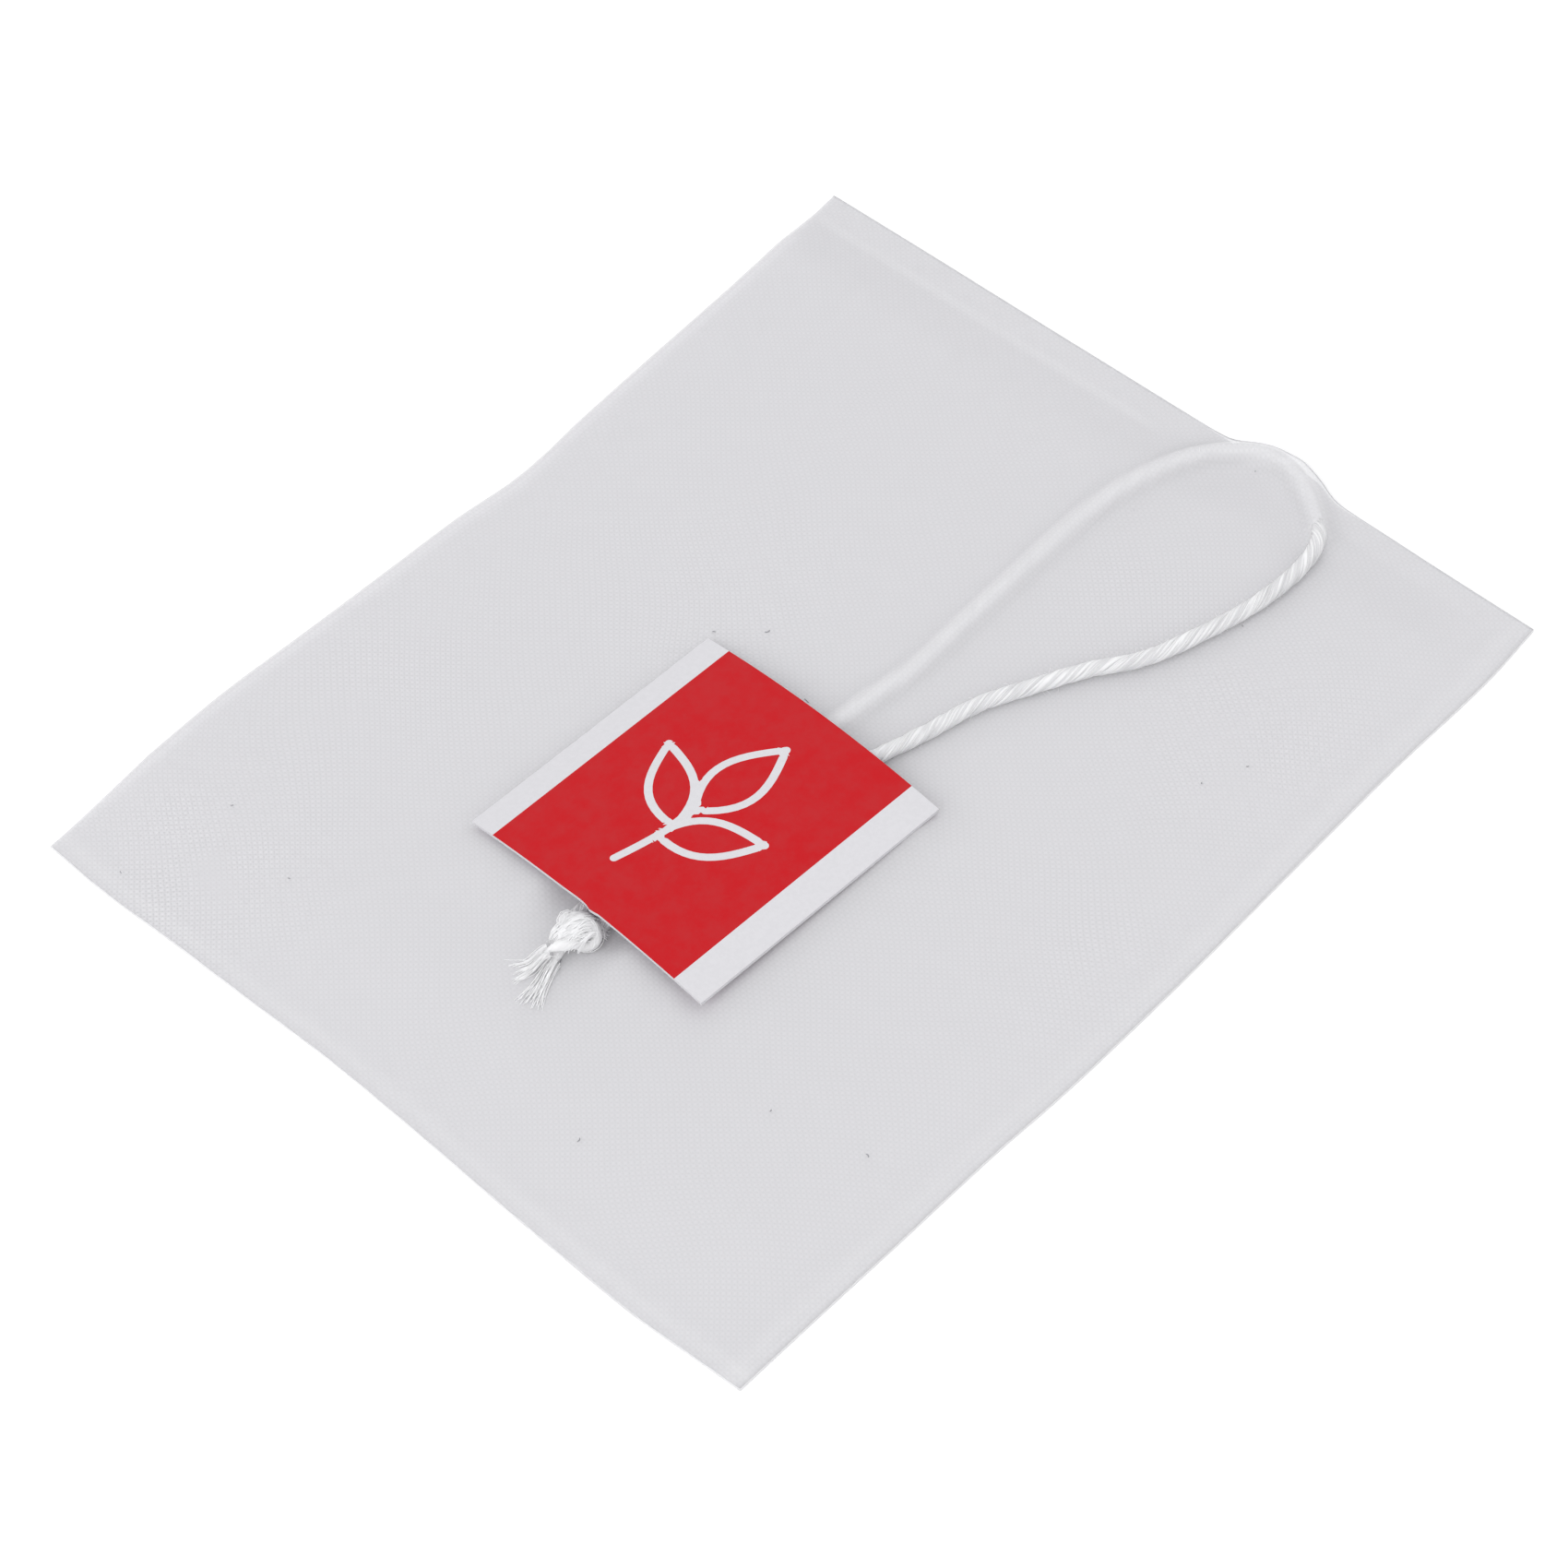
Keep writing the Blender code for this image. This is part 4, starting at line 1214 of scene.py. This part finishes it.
class TEABAG_OT_add_tag(Operator):
    """Makes the printed paper tag"""

    bl_idname = "teabag.add_tag"
    bl_label = "Add tag"

    def border(self, across, along):
        """The card's outline, with the ragged cut on the fold's side and the nick over the knot."""
        share = [2 * k / CUT_STEPS - 1 for k in range(CUT_STEPS)]
        rough = []
        for b in share:
            wander = 0.06 * noise.noise(Vector((b * 18, 1, 0))) + 0.035 * noise.noise(Vector((b * 60, 4, 0)))
            rough.append(Vector((-across + wander, -b * along)))
        depth, *place = NICK
        edge = [Vector((a * across, -along - depth * hill(a * across, *place))) for a in share]
        edge += [Vector((across, b * along)) for b in share]
        return edge + [Vector((-a * across, along)) for a in share] + rough

    def height(self, a, b, settings):
        """The card's underside: bowed over the strands, propped by the knot, with a faint ridge from it."""
        sag = (a - TAG_CREST) ** 2 / (2 * settings.bow / MM)
        along = settings.height / MM / 2
        ridge = RIDGE[0] * hill(a + 0.2 * b, *RIDGE[1:]) * hill(b, -along, RIDGE_FADE)
        return TAG_CREST_Z - sag + TAG_SLOPE_ACROSS * a + TAG_SLOPE_ALONG * b + ridge

    def execute(self, context):
        settings = context.scene.teabag_tag
        outline = Outline(context.scene.teabag_pouch)
        across, along = settings.width / MM / 2, settings.height / MM / 2
        low, high = -across + settings.near_fold / MM, across - settings.near_seam / MM
        centre = Vector(((low + high) / 2, 0.0, 0.0))
        strokes = [([p + centre for p in points], closed) for points, closed in sprig()]
        stroke = settings.stroke / MM
        border = self.border(across, along)
        found = [[a, b] for a, b in zip(border, border[1:] + border[:1])]
        found += [[Vector((a, -along)), Vector((a, along))] for a in (low, high)]
        found += [[p.to_2d() for p in rim] for rim in stroke_rims(strokes, stroke)]
        for k in range(1, MOTIF_STEPS):
            step = MOTIF_REACH * (2 * k / MOTIF_STEPS - 1)
            found += [[Vector((step, -MOTIF_REACH)), Vector((step, MOTIF_REACH))],
                      [Vector((-MOTIF_REACH, step)), Vector((MOTIF_REACH, step))]]
        for k in range(1, BOW_STEPS):
            a, b = (2 * k / BOW_STEPS - 1) * across, (2 * k / BOW_STEPS - 1) * along
            found += [[Vector((a, -along)), Vector((a, along))],
                      [Vector((-across + 0.2, b)), Vector((across, b))]]
        verts = [point for line in found for point in line]
        edges = [(2 * k, 2 * k + 1) for k in range(len(found))]
        flat, _, faces, *_ = geometry.delaunay_2d_cdt(verts, edges, [], 0, 1e-4)
        bm = bmesh.new()
        corners = [bm.verts.new((p.x, p.y, 0)) for p in flat]
        for face in faces:
            middle = sum((flat[i] for i in face), Vector((0, 0))) / len(face)
            if inside(middle, border):
                bare = not low < middle.x < high or distance_to(middle.to_3d(), strokes) < stroke / 2
                bm.faces.new([corners[i] for i in face]).material_index = 0 if bare else 1
        bmesh.ops.recalc_face_normals(bm, faces=bm.faces[:])
        if bm.faces[0].normal.z < 0:
            bmesh.ops.reverse_faces(bm, faces=bm.faces[:])
        loose = [corner for corner in bm.verts if not corner.link_faces]
        bmesh.ops.delete(bm, geom=loose, context="VERTS")
        upper = bm.faces[:]
        lower = bmesh.ops.extrude_face_region(bm, geom=upper, use_keep_orig=True)["geom"]
        under = {item for item in lower if isinstance(item, bmesh.types.BMVert)}
        turn = Matrix.Rotation(TAG_TURN, 3, "Z")
        at = Vector((TAG_X, outline.half_length - TAG_DROP, 0)) - outline.middle
        card = settings.card / MM
        for corner in bm.verts:
            a, b = corner.co.x, corner.co.y
            z = self.height(a, b, settings) + (0.0 if corner in under else card)
            corner.co = (turn @ Vector((a, b, z)) + at) * MM
        bmesh.ops.recalc_face_normals(bm, faces=bm.faces[:])
        for face in bm.faces:
            if face.normal.z < -0.5:
                face.material_index = 2
            elif face.normal.z < 0.5:
                face.material_index = 0
        mesh = mesh_from("tag_card", bm)
        mesh.set_sharp_from_angle(angle=math.radians(40))
        finishes = [card_material(settings), ink_material(settings), shade_tinting_back_material(settings)]
        tag = add_object("tag_card", mesh, finishes)
        finish_piece(tag, "tag_paper", "paper_tag")
        return {"FINISHED"}


def inside(place, border):
    """Whether a place is inside a closed line of points."""
    found = False
    for a, b in zip(border, border[1:] + border[:1]):
        if (a.y > place.y) != (b.y > place.y) and place.x < a.x + (b.x - a.x) * (place.y - a.y) / (b.y - a.y):
            found = not found
    return found


FLOOR_SIZE = 3.0
FLOOR_Z = -0.02 * MM
FLOOR_WHITE = 0.80
FLOOR_GLOW = 0.30
ROOM = (0.985, 0.985, 1.0, 1.0)
# Each softbox: its setting's name, its size and distance in metres, its bearing and height in degrees
LAMPS = (("key", 0.6, 0.8, 150, 58), ("fill", 0.7, 1.0, 5, 38))


class TEABAG_OT_add_studio(Operator):
    """Makes the pale floor, the soft lights and the camera"""

    bl_idname = "teabag.add_studio"
    bl_label = "Add studio"

    def floor(self):
        bm = bmesh.new()
        bmesh.ops.create_grid(bm, x_segments=1, y_segments=1, size=FLOOR_SIZE / 2)
        for corner in bm.verts:
            corner.co.z = FLOOR_Z
        made = bpy.data.materials.new("white_floor")
        made.use_nodes = True
        tree = made.node_tree
        tree.nodes.clear()
        rays = put(tree, "ShaderNodeLightPath").outputs
        beyond = maths(tree, "MAXIMUM", rays["Is Glossy Ray"], rays["Is Transmission Ray"])
        seen = maths(tree, "MAXIMUM", rays["Is Camera Ray"], beyond)
        surface = put(tree, "ShaderNodeBsdfDiffuse", {"Color": (*[FLOOR_WHITE] * 3, 1.0)})
        glow = put(tree, "ShaderNodeEmission", {"Strength": maths(tree, "MULTIPLY", seen, FLOOR_GLOW)})
        both = put(tree, "ShaderNodeAddShader", {0: surface.outputs[0], 1: glow.outputs[0]})
        put(tree, "ShaderNodeOutputMaterial", {"Surface": both.outputs[0]})
        floor = add_object("floor", mesh_from("floor", bm), [made])

    def lamp(self, name, power, size, distance, azimuth, elevation):
        light = bpy.data.lights.new(name, "AREA")
        light.shape = "SQUARE"
        light.energy = power
        light.size = size
        made = add_object(name, light)
        back = bearing(math.radians(azimuth), math.radians(elevation))
        made.location = back * distance
        made.rotation_euler = back.to_track_quat("Z", "Y").to_euler()

    def world(self, strength):
        world = bpy.data.worlds.new("room")
        world.use_nodes = True
        tree = world.node_tree
        tree.nodes.clear()
        rays = put(tree, "ShaderNodeLightPath").outputs
        lit = put(tree, "ShaderNodeBackground", {"Color": ROOM, "Strength": strength}).outputs[0]
        white = put(tree, "ShaderNodeBackground", {"Color": (1.0, 1.0, 1.0, 1.0)}).outputs[0]
        both = put(tree, "ShaderNodeMixShader", {0: rays["Is Camera Ray"], 1: lit, 2: white})
        put(tree, "ShaderNodeOutputWorld", {"Surface": both.outputs[0]})
        bpy.context.scene.world = world

    def camera(self, settings):
        data = bpy.data.cameras.new("camera")
        data.lens = settings.lens
        data.sensor_width = 36.0
        data.clip_start = 0.01
        data.clip_end = 20.0
        made = add_object("camera", data)
        back = bearing(settings.azimuth, settings.elevation)
        made.location = Vector(settings.target) + back * settings.distance
        level = back.to_track_quat("Z", "Y")
        made.rotation_euler = (level @ Quaternion((0, 0, 1), -settings.roll)).to_euler()
        bpy.context.scene.camera = made

    def execute(self, context):
        settings = context.scene.teabag_studio
        self.floor()
        for name, *rest in LAMPS:
            self.lamp(name, getattr(settings, name), *rest)
        self.world(settings.sky)
        self.camera(settings)
        context.scene.view_settings.view_transform = "Standard"
        return {"FINISHED"}


class TEABAG_PT_panel(Panel):
    """Lists the pieces of the tea bag"""

    bl_label = "Tea filter bag"
    bl_space_type = "VIEW_3D"
    bl_region_type = "UI"
    bl_category = "Tea bag"

    def draw(self, context):
        for operator in OPERATORS:
            self.layout.operator(operator.bl_idname)
        for group in SETTINGS:
            box = self.layout.box()
            for name in group[1].__annotations__:
                box.prop(getattr(context.scene, group[0]), name)


SETTINGS = (
    ("teabag_pouch", PouchSettings),
    ("teabag_string", StringSettings),
    ("teabag_tag", TagSettings),
    ("teabag_studio", StudioSettings),
)
OPERATORS = (
    TEABAG_OT_add_studio,
    TEABAG_OT_add_pouch,
    TEABAG_OT_add_knot,
    TEABAG_OT_add_string,
    TEABAG_OT_add_tag,
    TEABAG_OT_add_lint,
)


def register():
    for name, group in SETTINGS:
        bpy.utils.register_class(group)
        setattr(bpy.types.Scene, name, PointerProperty(type=group))
    for operator in OPERATORS:
        bpy.utils.register_class(operator)
    bpy.utils.register_class(TEABAG_PT_panel)


def unregister():
    bpy.utils.unregister_class(TEABAG_PT_panel)
    for operator in reversed(OPERATORS):
        bpy.utils.unregister_class(operator)
    for name, group in reversed(SETTINGS):
        delattr(bpy.types.Scene, name)
        bpy.utils.unregister_class(group)


def main():
    register()
    bpy.ops.teabag.add_studio()
    bpy.ops.teabag.add_pouch()
    bpy.ops.teabag.add_knot()
    bpy.ops.teabag.add_string()
    bpy.ops.teabag.add_tag()
    bpy.ops.teabag.add_lint()


if __name__ == "__main__":
    main()
